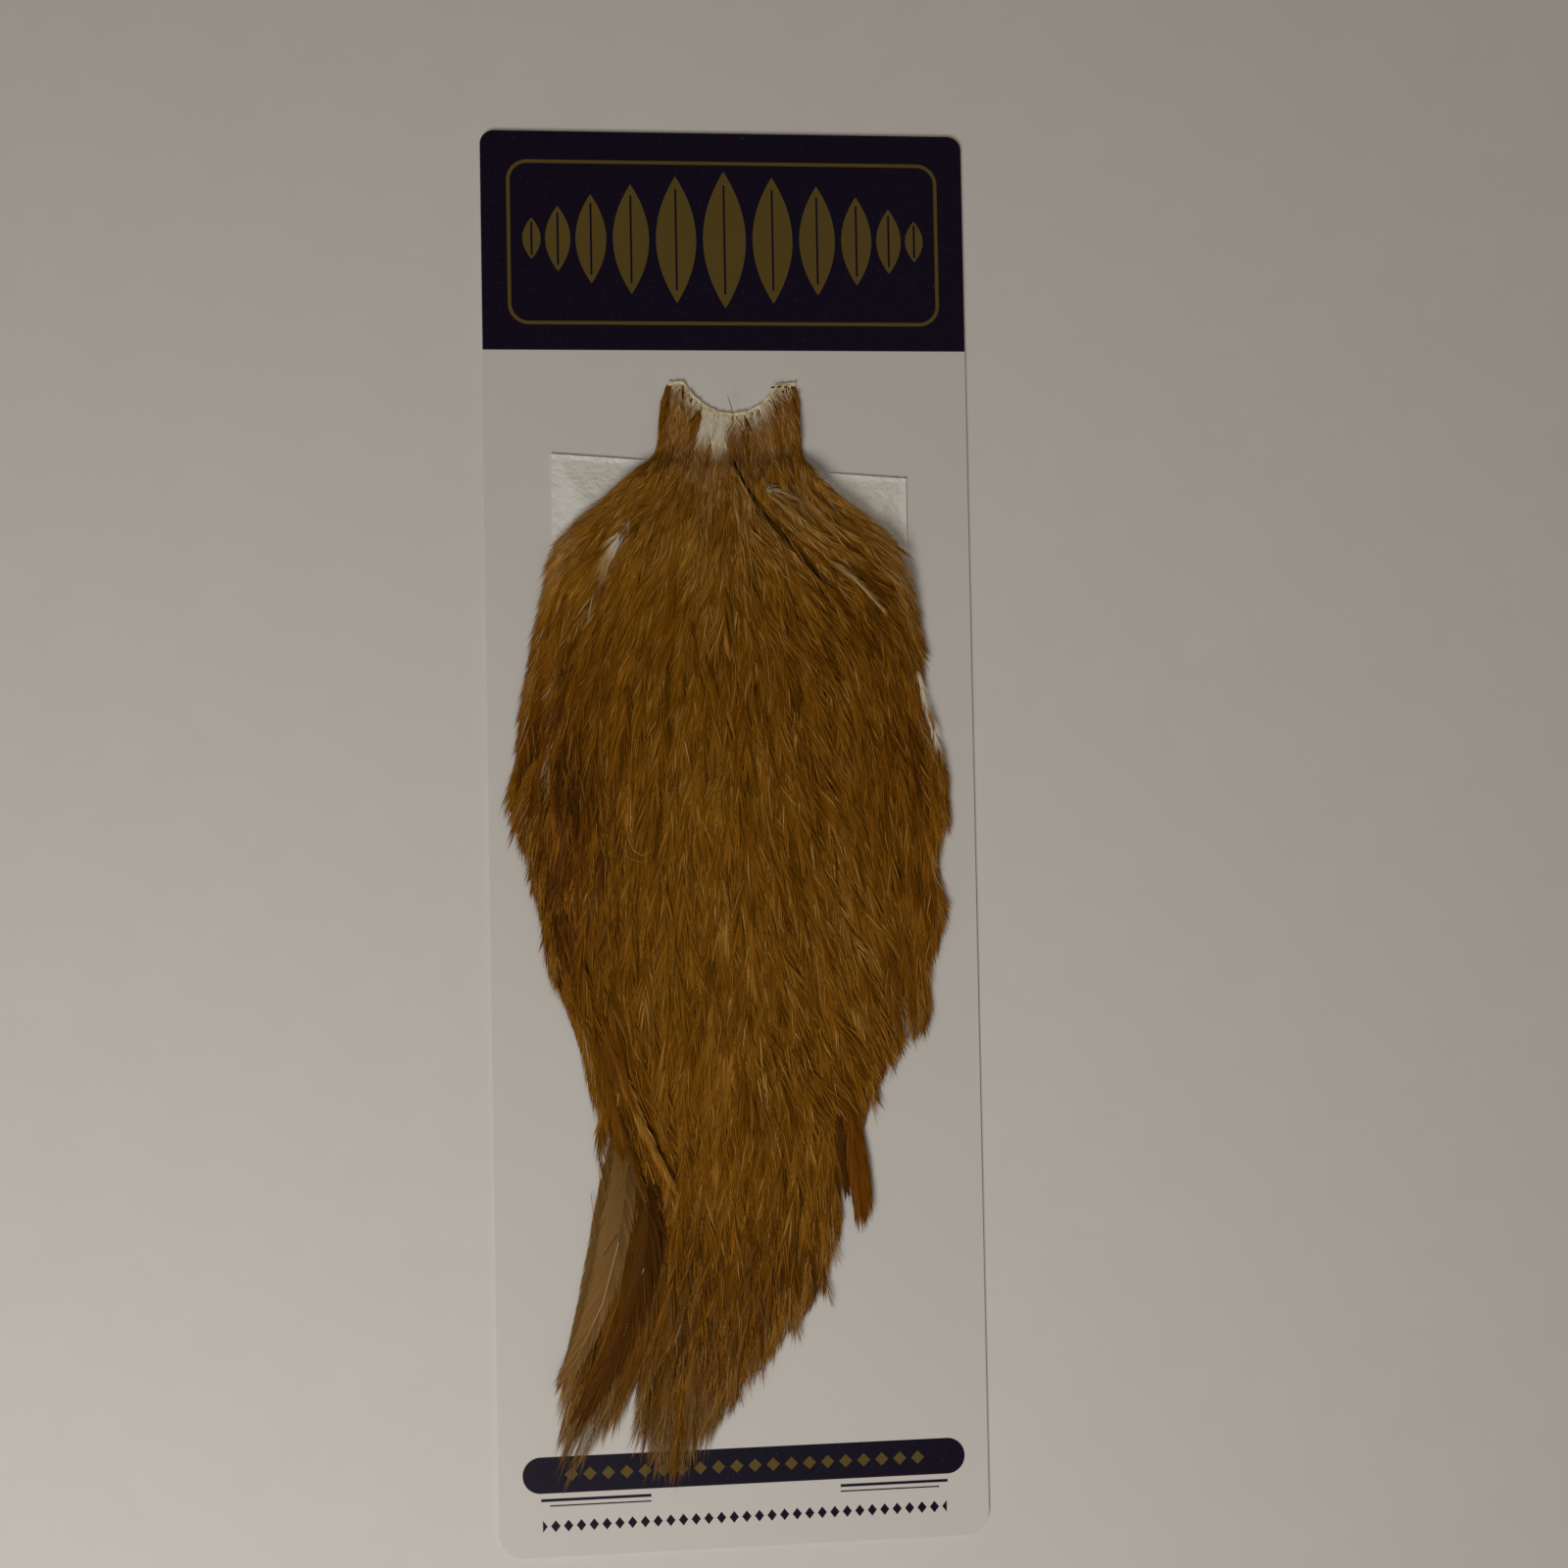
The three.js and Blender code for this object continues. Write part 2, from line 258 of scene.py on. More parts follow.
# edges of the cape from the neck down, as [y, x]
leftEdge = np.array([
    (130.4, -16.8), (123, -19.2), (116, -19.9), (109, -20.6), (102, -28.2), (95, -35.6), (88, -43.4),
    (81, -48.2), (74.5, -51.2), (60, -54.4), (46, -57.8), (26, -60), (12, -63.4), (5, -62.2), (-8, -57.6),
    (-22, -54.4), (-36, -52.8), (-50, -46.8), (-64, -42.4), (-78, -38.8), (-92, -40.4), (-106, -43.6),
    (-119, -45.2), (-133, -48.8), (-147, -50.4), (-160, -50.2), (-178, -51.6),
])
rightEdge = np.array([
    (130.4, 19.9), (123, 20.8), (116, 20.9), (109, 20.6), (102, 24.8), (95, 31.8), (88, 41.2), (81, 47.6),
    (76, 48.2), (67, 52.2), (52.5, 54.2), (43, 52.8), (31, 53.8), (26, 56.6), (17, 60), (3, 60.6),
    (-11, 57), (-25, 59.6), (-39, 54.2), (-53, 54.2), (-58, 52.2), (-62, 46.4), (-67, 41.0), (-78, 37),
    (-86, 33), (-92, 29.6), (-113, 27), (-123, 23.4), (-131, 20.4), (-141, 13.8), (-148, 6.4),
    (-156, -1.2), (-164, -7), (-172, -12.5), (-183, -17),
])
# tips of the two tail tufts and the top of the notch between them, as (x, y)
tailEnd = [
    (-19.6, -180.5), (-26.4, -179), (-31.2, -168), (-27.5, -150.5), (-36.8, -163.5), (-44.3, -170),
    (-50.2, -180.5),
]
neckCut = [
    (-12.8, 130.6), (-9.5, 126.2), (-6.3, 123.6), (-2.5, 121.8), (1.5, 121.2), (5.5, 121.9), (9.3, 123.8),
    (12, 126.3), (14.5, 129.9),
]
neckLine = np.array([(-16.8, 130.4), *neckCut, (19.9, 130.2)])

# height of the coat's middle, as (y, level)
crown = np.array([
    (130, 4), (120, 6), (105, 8.6), (85, 12.4), (55, 16.4), (25, 17.2), (-5, 15.2), (-40, 11.6),
    (-80, 8), (-120, 5), (-150, 3), (-190, 2),
])

# lie of the feathers, as (x, y, degrees from straight down, plus to the right)
combing = np.array([
    (-15, 126, -8), (-15, 112, -18), (-7, 117, -20), (-2, 114, -8), (7, 114, 6), (16, 117, 14), (19, 106, 8),
    (-29, 100, -42), (-40, 92, -55), (-47, 81, -48), (-29, 81, -32), (-41, 67, -28), (-54, 56, -24),
    (-58, 31, -18), (-61, 12, -22), (-57, -7, -8), (-53, -26, 0), (-45, -51, 14), (-40, -80, 14),
    (-36, -96, 2), (-44, -123, -10), (-44, -143, -20), (-48, -161, -22), (-44, 15, 2), (-30, 14, -6),
    (-28, -27, -3), (-31, -54, 8), (-27, -83, 18), (1, 98, 0), (-9, 81, -16), (-19, 64, -20),
    (12, 72, 20), (23, 58, 32), (29, 92, 50), (43, 78, 50), (51, 64, 30), (54, 41, 16), (58, 19, 14),
    (59, -1, 4), (58, -29, -2), (53, -48, 2), (0, 42, 0), (-14, 28, -8), (14, 28, 13), (28, 13, 22),
    (42, 13, 8), (0, -14, 2), (19, -14, 18), (36, -29, 24), (-14, -14, -5), (-1, -41, 2), (21, -42, 20),
    (35, -59, 26), (40, -68, 20), (15, 86, 38), (24, 77, 38), (-15, -63, -12), (10, -64, 14), (27, -71, 30),
    (-2, -95, -8), (19, -95, -2), (32, -99, 4), (-16, -124, -10), (6, -125, -6), (20, -123, 2),
    (-33, -138, -16), (-22, -157, -13), (-6, -152, -6), (-16, -97, -2), (-27, -110, -6),
], float)


def step(value, low, high):
    # 0 at low and 1 at high, with a smooth step between them
    share = np.clip((value - low) / (high - low), 0, 1)
    return share * share * (3 - 2 * share)


def bell(value, at, width):
    # 1 at this place and almost 0 from twice the width on
    return np.exp(-(((value - at) / width) ** 2))


def hill(x, y, atX, atY, width, height):
    # the same in two directions
    return np.exp(-(((x - atX) / width) ** 2) - ((y - atY) / height) ** 2)


def smoothPath(points, share):
    # a smooth curve near these points, read at these shares of its length, and the length
    points = np.array(points, float)
    at = np.r_[0, np.cumsum(np.hypot(*np.diff(points, axis=0).T))]
    fit = np.linalg.lstsq(np.vander(at / at[-1], 4), points, rcond=None)[0]
    return np.vander(share, 4) @ fit, at[-1]


pathParts = 10  # stretches of the parting's lines and of each feather's path
pathShares = np.linspace(0, 1, pathParts + 1)

# the parting is a low strip between two lines, each from the neck down to the right
middleEdge, _ = smoothPath(
    [(0.1, 111.1), (1.2, 102.9), (5.4, 94.8), (10.0, 88.1), (15.6, 81.6), (22.0, 73.1), (29.2, 64.4)],
    pathShares,
)
lobeEdge, _ = smoothPath(
    [(1.2, 111.1), (2.9, 103.3), (7.0, 96.6), (11.6, 90.6), (18.6, 84.3), (27.3, 77.4), (34.5, 71.0),
     (40.9, 63.8)],
    pathShares,
)


def smoothTable(table):
    # a table of (y, value) read at every half millimetre, with its corners rounded off
    order = np.argsort(table[:, 0])
    y = np.arange(-200, 140, 0.5)
    value = np.interp(y, table[order, 0], table[order, 1])
    kernel = bell(np.arange(-6, 7), 0, 3.0)
    padded = np.pad(value, 6, mode="edge")
    return y, np.convolve(padded, kernel / kernel.sum(), mode="valid")


leftCurve = smoothTable(leftEdge)
rightCurve = smoothTable(rightEdge)
crownCurve = smoothTable(crown)


def sides(y):
    # x of the cape's left and right edge
    return np.interp(y, *leftCurve), np.interp(y, *rightCurve)


def inward(x, y):
    # how far points lie in from the nearer side of the cape
    left, right = sides(y)
    return np.minimum(x - left, right - x)


def fromLine(x, y, line):
    # distance from a line, more than 0 on its upper right side, how far along it, and the way to that side
    best = np.full(np.shape(x), 1e9)
    signed, along = np.zeros(np.shape(x)), np.zeros(np.shape(x))
    sideX, sideY = np.ones(np.shape(x)), np.zeros(np.shape(x))
    count = len(line) - 1
    for i in range(count):
        a, b = line[i], line[i + 1]
        run = b - a
        length = np.hypot(*run)
        share = np.clip(((x - a[0]) * run[0] + (y - a[1]) * run[1]) / length**2, 0, 1)
        distance = np.hypot(x - a[0] - run[0] * share, y - a[1] - run[1] * share)
        side = np.sign(run[0] * (y - a[1]) - run[1] * (x - a[0]))
        nearer = distance < best
        best = np.where(nearer, distance, best)
        signed = np.where(nearer, distance * side, signed)
        along = np.where(nearer, (i + share) / count, along)
        sideX = np.where(nearer, -run[1] / length, sideX)
        sideY = np.where(nearer, run[0] / length, sideY)
    return signed, along, sideX, sideY


def groupOf(x, y):
    # 0 for feathers of the middle of the coat, 1 for those of the right lobe, 0.5 between the two lines
    beside = fromLine(x, y, middleEdge)[0] > 0
    return np.where(fromLine(x, y, lobeEdge)[0] > 0, 1.0, np.where(beside, 0.5, 0.0))


def keptToSide(x, y, group):
    # barbs of the middle and of the lobe end at their lines
    for line, number, sign, last in ((middleEdge, 0, 1, 0.8), (lobeEdge, 1, -1, 0.95)):
        signed, along, sideX, sideY = fromLine(x, y, line)
        strength = step(along, 0.01, 0.06) * (1 - step(along, last, 0.999)) * (group == number)
        over = 0.88 * np.maximum(signed * sign, 0) * strength * (signed * sign < 5) * sign
        x, y = x - over * sideX, y - over * sideY
    return x, y


strokeSides = np.sign(fromLine(combing[:, 0], combing[:, 1], lobeEdge)[0])


def flow(x, y):
    # unit direction in which the feathers lie
    reach = 13.0
    signed = fromLine(x, y, lobeEdge)[0]
    parted = 18 * bell(signed, 0, 16)
    total = np.zeros(np.shape(x))
    turned = np.zeros(np.shape(x))
    for (strokeX, strokeY, degrees), strokeSide in zip(combing, strokeSides):
        gap = np.where(np.sign(signed) == strokeSide, 0, parted)
        distance = (np.hypot(x - strokeX, y - strokeY) + gap) / reach
        weight = 1 / (0.03 + distance**4)
        total += weight
        turned += weight * degrees
    angle = np.radians(turned / total)
    return np.stack([np.sin(angle), -np.cos(angle)], -1)


def restLevel(x, y):
    # what the cape lies on: the pad or the card
    width, middle, top, bottom = coat["padSize"]
    inside = np.minimum(np.minimum(width / 2 - np.abs(x - middle), top - y), y - bottom)
    share = step(inside, -4, 3)
    return coat["cardLevel"] + (coat["padLevel"] - coat["cardLevel"]) * share


def ripples(x, y):
    # soft swells, longer down the cape than across it
    waves = [(0.31, 0.05, 0.4), (0.19, -0.11, 2.1), (-0.26, 0.13, 4.4), (0.12, 0.21, 1.2), (0.47, -0.04, 5.2)]
    return sum(np.sin(a * x + b * y + c) for a, b, c in waves) / len(waves)


def belowCut(x, y):
    # how far a point lies below the neck cut
    return np.interp(x, neckLine[:, 0], neckLine[:, 1]) - y


def locks(x, y):
    # ridges of the coat that run with the feathers, from about -1 to 1
    left, right = sides(y)
    across = (x - (left + right) / 2) / (right - left) * 110
    return ripples(2.4 * across, 0.9 * y)


def coatLevel(x, y, group=None):
    # top of the coat over the card's back. Feathers of the parting's low strip lie under both its edges
    left, right = sides(y)
    left, right = left + coat["edgeInset"], right - coat["edgeInset"]
    across = np.clip(np.abs((x - (left + right) / 2) / ((right - left) / 2)), 0, 1)
    below = belowCut(x, y)
    edge = restLevel(x, y) + coat["edgeThickness"] * (0.5 + 0.5 * step(below, 0, 14))
    middle = np.maximum(edge, np.interp(y, *crownCurve))
    rising = np.clip((below + 1) / coat["neckRise"], 0, 1)
    rounded = (1 - across**2.2) ** 0.8 * (rising + step(rising, 0, 1)) / 2
    signed, along, _, _ = fromLine(x, y, middleEdge)
    dip = coat["partingDepth"] * (0.3 + 0.7 * bell(np.maximum(signed, 0), 0, coat["partingWidth"]))
    dip = dip * step(along, 0.0, 0.06) * (1 - step(along, 0.8, 1.0))
    if group is None:
        dip = dip * step(signed, -0.6, 0.6) * step(-fromLine(x, y, lobeEdge)[0], -0.6, 0.6)
    else:
        dip = dip * (group == 0.5)
    swell = (ripples(x, y) * coat["ripple"] + locks(x, y) * coat["locks"]) * rounded
    return edge + (middle - edge) * rounded + swell - dip


def insideOutline(x, y):
    # whether points lie inside the cape's outline, seen from above
    ring = np.concatenate([rightEdge[:, ::-1], tailEnd, leftEdge[::-1, ::-1], neckCut])
    inside = np.zeros(np.shape(x), bool)
    for (ax, ay), (bx, by) in zip(ring, np.roll(ring, -1, 0)):
        crosses = (ay > y) != (by > y)
        atX = ax + (y - ay) * (bx - ax) / (by - ay if by != ay else 1e-9)
        inside ^= crosses & (x < atX)
    return inside


# Feathers

barbPoints = np.array([0, 0.5, 1.0])
# width of a strand from its root to its tip, as (place, share of the full width)
strandWidth = ([0, 0.4, 0.75, 1], [0.75, 1.0, 0.72, 0])
# colour families of the coat: 0 gold, 1 orange, 2 dark, 3 pale, 4 tan, 5 pale at its base and gold from there
bands = 6


def ribbons(line, width, roll, tone, band, shade):
    # flat tapered strands. line is (strands, points along a strand, 3) in millimetres
    count, places, _ = line.shape
    ahead = np.gradient(line, axis=1)
    ahead /= np.linalg.norm(ahead, axis=2, keepdims=True) + 1e-9
    side = np.stack([-ahead[..., 1], ahead[..., 0], np.zeros(ahead.shape[:2])], -1)
    side /= np.linalg.norm(side, axis=2, keepdims=True) + 1e-9
    side = side * np.cos(roll)[:, None, None]
    side[..., 2] = np.sin(roll)[:, None]
    half = (width[:, None] * np.interp(np.linspace(0, 1, places), *strandWidth) / 2)[..., None]
    pairs = np.stack([line - side * half, line + side * half], 2)[:, :-1].reshape(count, -1, 3)
    points = np.concatenate([pairs, line[:, -1:]], 1)
    order = np.r_[np.repeat(np.arange(places - 1), 2), places - 1]
    across = np.r_[np.tile([-1, 1], places - 1), 0] * 0.006
    u = np.clip(tone, 0.02, 0.98)[:, None] + across
    v = (band[:, None] + 0.06 + 0.88 * np.clip(shade[:, order], 0, 1)) / bands
    low = 2 * np.arange(places - 2)[:, None]
    last = 2 * places - 2
    strip = np.concatenate([low + (0, 1, 3), low + (0, 3, 2), [(last - 2, last - 1, last)]])
    triangles = strip[None] + (last + 1) * np.arange(count)[:, None, None]
    return points.reshape(-1, 3), triangles.reshape(-1, 3), np.stack([u, v], -1).reshape(-1, 2)


def joined(sets):
    # several sets of points, triangles and map places as one
    points, triangles, uv = zip(*sets)
    starts = np.cumsum([0, *map(len, points)])
    moved = [own + start for own, start in zip(triangles, starts)]
    return np.concatenate(points), np.concatenate(moved), np.concatenate(uv)


def featherPiece(name, sets):
    # one piece of the coat from sets of strands
    points, triangles, uv = joined(sets)
    piece = meshPiece(name, points, triangles, coatMaterial, uv)
    print(name, len(triangles), "triangles")


def combBack(tips, lengths):
    # paths of feathers that end at these tips, from root to tip
    path = [tips]
    for _ in range(pathParts):
        path.insert(0, path[0] - flow(*path[0].T) * (lengths / pathParts)[:, None])
    return np.stack(path, 1)


# places with some pale barbs, as (x, y, half width, half length, degrees, share)
paleSpots = [
    (-33, 80, 3, 10, -20, 0.3),
    (-41, 62, 2, 7, -12, 0.2),
    (-51, 47, 2, 7, -8, 0.15),
    (-53, 22, 2, 9, -5, 0.2),
]


def paleShare(x, y):
    # share of pale barbs in the coat, most where whole pale feathers lie beside it
    share = np.zeros(np.shape(x))
    for spotX, spotY, halfWidth, halfLength, degrees, most in paleSpots:
        turn = math.radians(degrees)
        downwards = (x - spotX) * math.sin(turn) - (y - spotY) * math.cos(turn)
        sideways = (x - spotX) * math.cos(turn) + (y - spotY) * math.sin(turn)
        distance = np.hypot(sideways / halfWidth, downwards / halfLength)
        share = np.maximum(share, most * (1 - step(distance, 0.3, 1.2)))
    return share


# patches of the coat that differ from the rest, as (x, y, half width, half height, shift of tone)
toneSpots = [
    (0, 80, 26, 30, 0.22), (5, -62, 26, 34, 0.05), (38, -38, 12, 22, 0.07), (27, 88, 17, 13, 0.2),
    (-36, -62, 9, 26, -0.07),
]


def orangeShare(x, y):
    # the rims and the edge over the parting are more orange than the middle
    signed, along, _, _ = fromLine(x, y, middleEdge)
    lip = bell(signed, -1.0, 2.0) * (1 - step(along, 0.6, 0.9)) * 0.15
    flanks = step(np.abs(x), 26, 50) * step(60 - y, 0, 30) * step(y, -60, -20) * 0.25
    leftFlank = 0.06 * hill(x, y, -50, 22, 10, 34)
    rim = 0.1 + 0.22 * (1 - step(inward(x, y), 2, 16))
    return rim * (1 - 0.75 * step(-y, 85, 130)) + lip + flanks + leftFlank


def darkShare(x, y, group):
    # the parting, the flanks and the tail have more dark barbs; those along the parting's middle edge are
    # painted shade
    # painted shade: dark barbs along the parting, where the middle's edge shadows it
    strip = 0.1 + 0.5 * bell(fromLine(x, y, middleEdge)[0], 0, 2.5)
    flanks = 0.06 * 0.7 * hill(x, y, 45, 22, 12, 42) + 0.6 * hill(x, y, -48, 0, 12, 55)
    return np.clip(0.05 + strip * (group == 0.5) + flanks + 0.4 * step(-y, 80, 130), 0, 0.9)


def regionTone(x, y, group):
    # brighter on the shoulders and high and low on the middle of the coat, darker on its flanks and tail; the
    # lighter shoulder rims and the lighter band below the neck cut are painted light
    signed, along, _, _ = fromLine(x, y, middleEdge)
    tone = 0.38 + 0.05 * locks(x, y)
    # painted light: the thin rims of the shoulders over the pad are lighter, as if lit through
    tone += 0.14 * (1 - step(inward(x, y), 1, 8)) * step(y, 50, 72) * step(106 - y, 0, 10)
    tone += 0.08 * step(np.abs(x), 10, 28) * step(y, 56, 84)
    # the lighter band about y 108 is painted light that offsets the shade where the coat rises from the neck
    # cut
    tone += 0.02 * step(y, 90, 110) + 0.15 * bell(y, 108, 4.5)
    # the lighter strip along the middle's edge over the parting is partly a painted highlight on that raised
    # edge
    tone += 0.12 * bell(signed, -2.5, 3.5) * (1 - step(along, 0.6, 0.9)) * (group == 0)
    tone -= 0.01 * step(np.abs(x), 28, 56) * step(y, -60, -20) * step(75 - y, 0, 30)
    tone -= 0.15 * step(-x, 25, 50) * step(60 - y, 0, 30) + 0.08 * step(-y, 100, 130)
    return tone + sum(shift * hill(x, y, *spot) for *spot, shift in toneSpots)


feathers = {
    "barbs": 40,  # on each side of a shaft
    "barbWidth": 0.28,
    "barbAngles": (21, 7),  # from the shaft, at its root and at its tip
    "barbLength": 0.62,  # the longest, as a share of the feather's length
    "dive": 1.9,  # depth of a root under the coat
    "slope": 0.9,  # fall from the tip to the root besides that
    "cup": 0.55,
    "turn": 5.0,  # spread of the feathers' headings, in degrees
    "lift": 0.48,  # spread of their heights
    "past": 11.0,  # how far barbs may reach past the end of a shaft
    "fringe": (0.5, 2.6),  # how far barbs may stand out over the cape's edge, before a power of 1.6
    "shaftWidth": 0.3,
    "uneven": 1.0,  # how much barbs of one feather differ
    "quill": None,  # tone of a pale shaft. None: the shaft has the barbs' colours
    "seed": 11,
}


def scattered(path, turn, bend):
    # paths with their headings spread by this turn about the tips, and bent a little
    tips = path[:, -1:]
    away = path - tips
    aside = np.stack([-away[..., 1], away[..., 0]], -1)
    angle = np.radians(rng.normal(0, turn, (len(path), 1, 1)))
    arch = np.sin(math.pi * np.linspace(0, 1, path.shape[1]))[:, None]
    curve = rng.normal(0, bend, (len(path), 1, 1)) * arch
    across = aside[:, :1] / (np.linalg.norm(aside[:, :1], axis=-1, keepdims=True) + 1e-9)
    return tips + away * np.cos(angle) + aside * np.sin(angle) + across * curve


def keptIn(x, y, fringe):
    # barbs that reach over the cape's edge bend back along it
    for edge, out in zip(sides(y), (-1, 1)):
        over = np.maximum(out * (x - edge), 0)
        x = np.where(over > 0, edge + out * fringe * (1 - np.exp(-over / fringe)), x)
    return x


def vane(path, length, halfWidth, tone, opts, family=None, lift=None, paleBase=None, group=None):
    # barbs and shafts of feathers along these paths. paleBase: millimetres of pale vane from the root
    count, steps, _ = path.shape
    group = np.zeros(count) if group is None else group
    halfWidth = np.reshape(halfWidth, (count, -1, 1))
    barbs = opts["barbs"]
    shape = (count, 2, barbs)

    def each(values):
        return np.asarray(values).reshape(-1, 1, 1)

    def perBarb(values):
        return np.broadcast_to(each(values), shape).ravel()

    def heights(x, y, along, perFeather):
        # the feather's own height over the card, without its barbs
        level = coatLevel(x, y, perFeather(group))
        up = step(along, 0, 0.32)
        level = level - opts["dive"] * (1 - up) - opts["slope"] * (1 - np.minimum(along, 1.1))
        return level if lift is None else level + perFeather(lift) * up

    uneven = opts["uneven"]
    side = np.array([-1, 1])[None, :, None] * np.ones(shape)
    start = np.linspace(0.02, 0.975, barbs)[None, None] + rng.normal(0, 0.010, shape)
    start = np.clip(start, 0, 0.985)
    groups = np.cumsum(rng.uniform(0, 1, shape) < 0.24, axis=2)
    clump = np.take_along_axis(rng.normal(0, 1, shape), groups, axis=2) * uneven
    drawn = rng.uniform(0, 1, shape)
    dark = np.take_along_axis(rng.uniform(0, 1, shape), groups, axis=2) < 0.1
    # a few barbs get a lighter tone, a painted highlight, and are raised a little; some clumps are darker
    streak = np.where(drawn > 0.955, 0.27, np.where(dark, -0.14, 0))
    angle = opts["barbAngles"][0] + (opts["barbAngles"][1] - opts["barbAngles"][0]) * start
    angle = np.radians(angle + 2.4 * clump + rng.normal(0, 0.8, shape) * uneven)
    angle = np.maximum(angle, 0.05)
    outline = (0.5 + 0.5 * np.minimum(1, start / 0.25)) * (1 - 0.72 * start**2.2)
    reach = halfWidth * outline * (1 + 0.1 * clump + rng.uniform(-0.12, 0.1, shape) * uneven)
    barbLength = np.minimum(np.maximum(reach, 0.2) / np.sin(angle), opts["barbLength"] * each(length))
    pastEnd = (1 - start) * each(length) + opts["past"] * rng.uniform(0.2, 1, shape)
    barbLength = np.minimum(barbLength, pastEnd)

    spot = start * (steps - 1)
    lower = np.minimum(spot.astype(int), steps - 2)
    part = (spot - lower)[..., None]
    which = np.arange(count)[:, None, None]
    a, b = path[which, lower], path[which, lower + 1]
    root = a + (b - a) * part
    ahead = (b - a) / (np.linalg.norm(b - a, axis=-1, keepdims=True) + 1e-9)
    aside = np.stack([-ahead[..., 1], ahead[..., 0]], -1) * side[..., None]

    s = barbPoints
    forward = (barbLength * np.cos(angle))[..., None] * (s + 0.05 * s * s)
    sideways = (barbLength * np.sin(angle))[..., None] * (s - 0.25 * s * s) + 0.3 * clump[..., None] * s * s
    x = root[..., None, 0] + ahead[..., None, 0] * forward + aside[..., None, 0] * sideways
    y = root[..., None, 1] + ahead[..., None, 1] * forward + aside[..., None, 1] * sideways
    if opts["fringe"]:
        reachOut = rng.uniform(*opts["fringe"], shape)[..., None] ** 1.6
        openEnd = 0.2 + 1.4 * step(-y, 45, 75) + 4.4 * step(-y, 138, 155)
        x = keptIn(x, y, reachOut * step(112 - y, 0, 16) + openEnd)
    x, y = keptToSide(x, y, each(group)[..., None])
    along = start[..., None] + forward / each(length)[..., None]
    z = heights(x, y, along, lambda values: each(values)[..., None])
    z = z - opts["cup"] * (sideways / halfWidth[..., None]) ** 2
    z = z + (0.2 * clump + 1.2 * np.maximum(streak, 0) + rng.normal(0, 0.05, shape))[..., None] * s
    z = np.maximum(z, restLevel(x, y) + 0.12 + rng.uniform(0, 0.35, shape)[..., None])

    line = np.stack([x, y, z], -1).reshape(-1, len(s), 3)
    width = (each(opts["barbWidth"]) * rng.uniform(0.75, 1.2, shape)).ravel()
    width *= 1 - 0.45 * step(-line[:, 1, 1], 148, 172)
    roll = (-0.28 * side + 0.15 * clump + rng.normal(0, 0.2, shape)).ravel()
    barbTone = (each(tone) + 0.06 * clump + (streak + rng.normal(0, 0.11, shape)) * uneven).ravel()
    # shade runs from 0 at a feather's root to 1 at its tip; the coat's material darkens its low end as
    # painted shade
    shade = (0.6 * np.clip(along, 0, 1) + 0.4 * s).reshape(-1, len(s))
    middleX, middleY = line[:, 1, 0], line[:, 1, 1]
    drawn = (0.5 * rng.uniform(0, 1, shape) + 0.5 * rng.uniform(0, 1, (count, 1, 1))).ravel()
    groups = perBarb(group)
    orange, dark = orangeShare(middleX, middleY), darkShare(middleX, middleY, groups)
    band = np.where(drawn < dark * 0.9, 2, np.where(drawn > 1 - orange * 0.85, 1, 0))
    pale = paleShare(middleX, middleY)
    tan = rng.uniform(0, 1, len(line)) < 0.3 * step(-middleY, 110, 160) + 0.4 * step(-middleY, 150, 172)
    band = np.where(tan, 4, band)
    barbTone = np.where(tan, barbTone - 0.15, barbTone)
    if family is not None:
        stated = perBarb(family)
        band = np.where(stated >= 0, stated, band)
        pale = np.where(stated >= 0, 0, pale)
    isPale = rng.uniform(0, 1, len(line)) < pale
    band = np.where(isPale, 3, band)
    barbTone = np.where(isPale, rng.uniform(0.0, 0.55, len(line)), barbTone)
    if paleBase is not None:
        covered = (along * each(length)[..., None]).reshape(-1, len(s))
        base = perBarb(paleBase)[:, None] + rng.normal(0, 0.9, (len(line), 1))
        faded = base > 0.3
        shade = np.where(faded, step(covered, base - 2.2, base + 3.2), shade)
        band = np.where(faded[:, 0], 5, band)
    made = ribbons(line, width, roll, barbTone, band, shade)

    shaftAt = np.linspace(0, steps - 1, 5).astype(int)
    shaft = path[:, shaftAt]
    share = shaftAt[None] / (steps - 1)
    shaftZ = heights(shaft[..., 0], shaft[..., 1], share, lambda values: np.reshape(values, (-1, 1))) + 0.1
    shaftZ = np.maximum(shaftZ, restLevel(shaft[..., 0], shaft[..., 1]) + 0.3)
    shaftLine = np.concatenate([shaft, shaftZ[..., None]], -1)
    shaftShade = np.repeat(share * 0.9, count, 0)
    shaftBand = np.zeros(count) if family is None else np.maximum(family, 0)
    if paleBase is not None:
        shaftBand = np.where(paleBase > 0.3, 5, shaftBand)
        shaftShade = step(share * length[:, None], paleBase[:, None] - 2.2, paleBase[:, None] + 3.2)
    shaftTone = tone + rng.uniform(-0.1, 0.2, count)
    if opts["quill"] is not None:
        shaftBand, shaftTone = np.full(count, 4), np.full(count, opts["quill"])
    shaftWidth = np.full(count, opts["shaftWidth"])
    shafts = ribbons(shaftLine, shaftWidth, np.zeros(count), shaftTone, shaftBand, shaftShade)
    return joined([made, shafts])


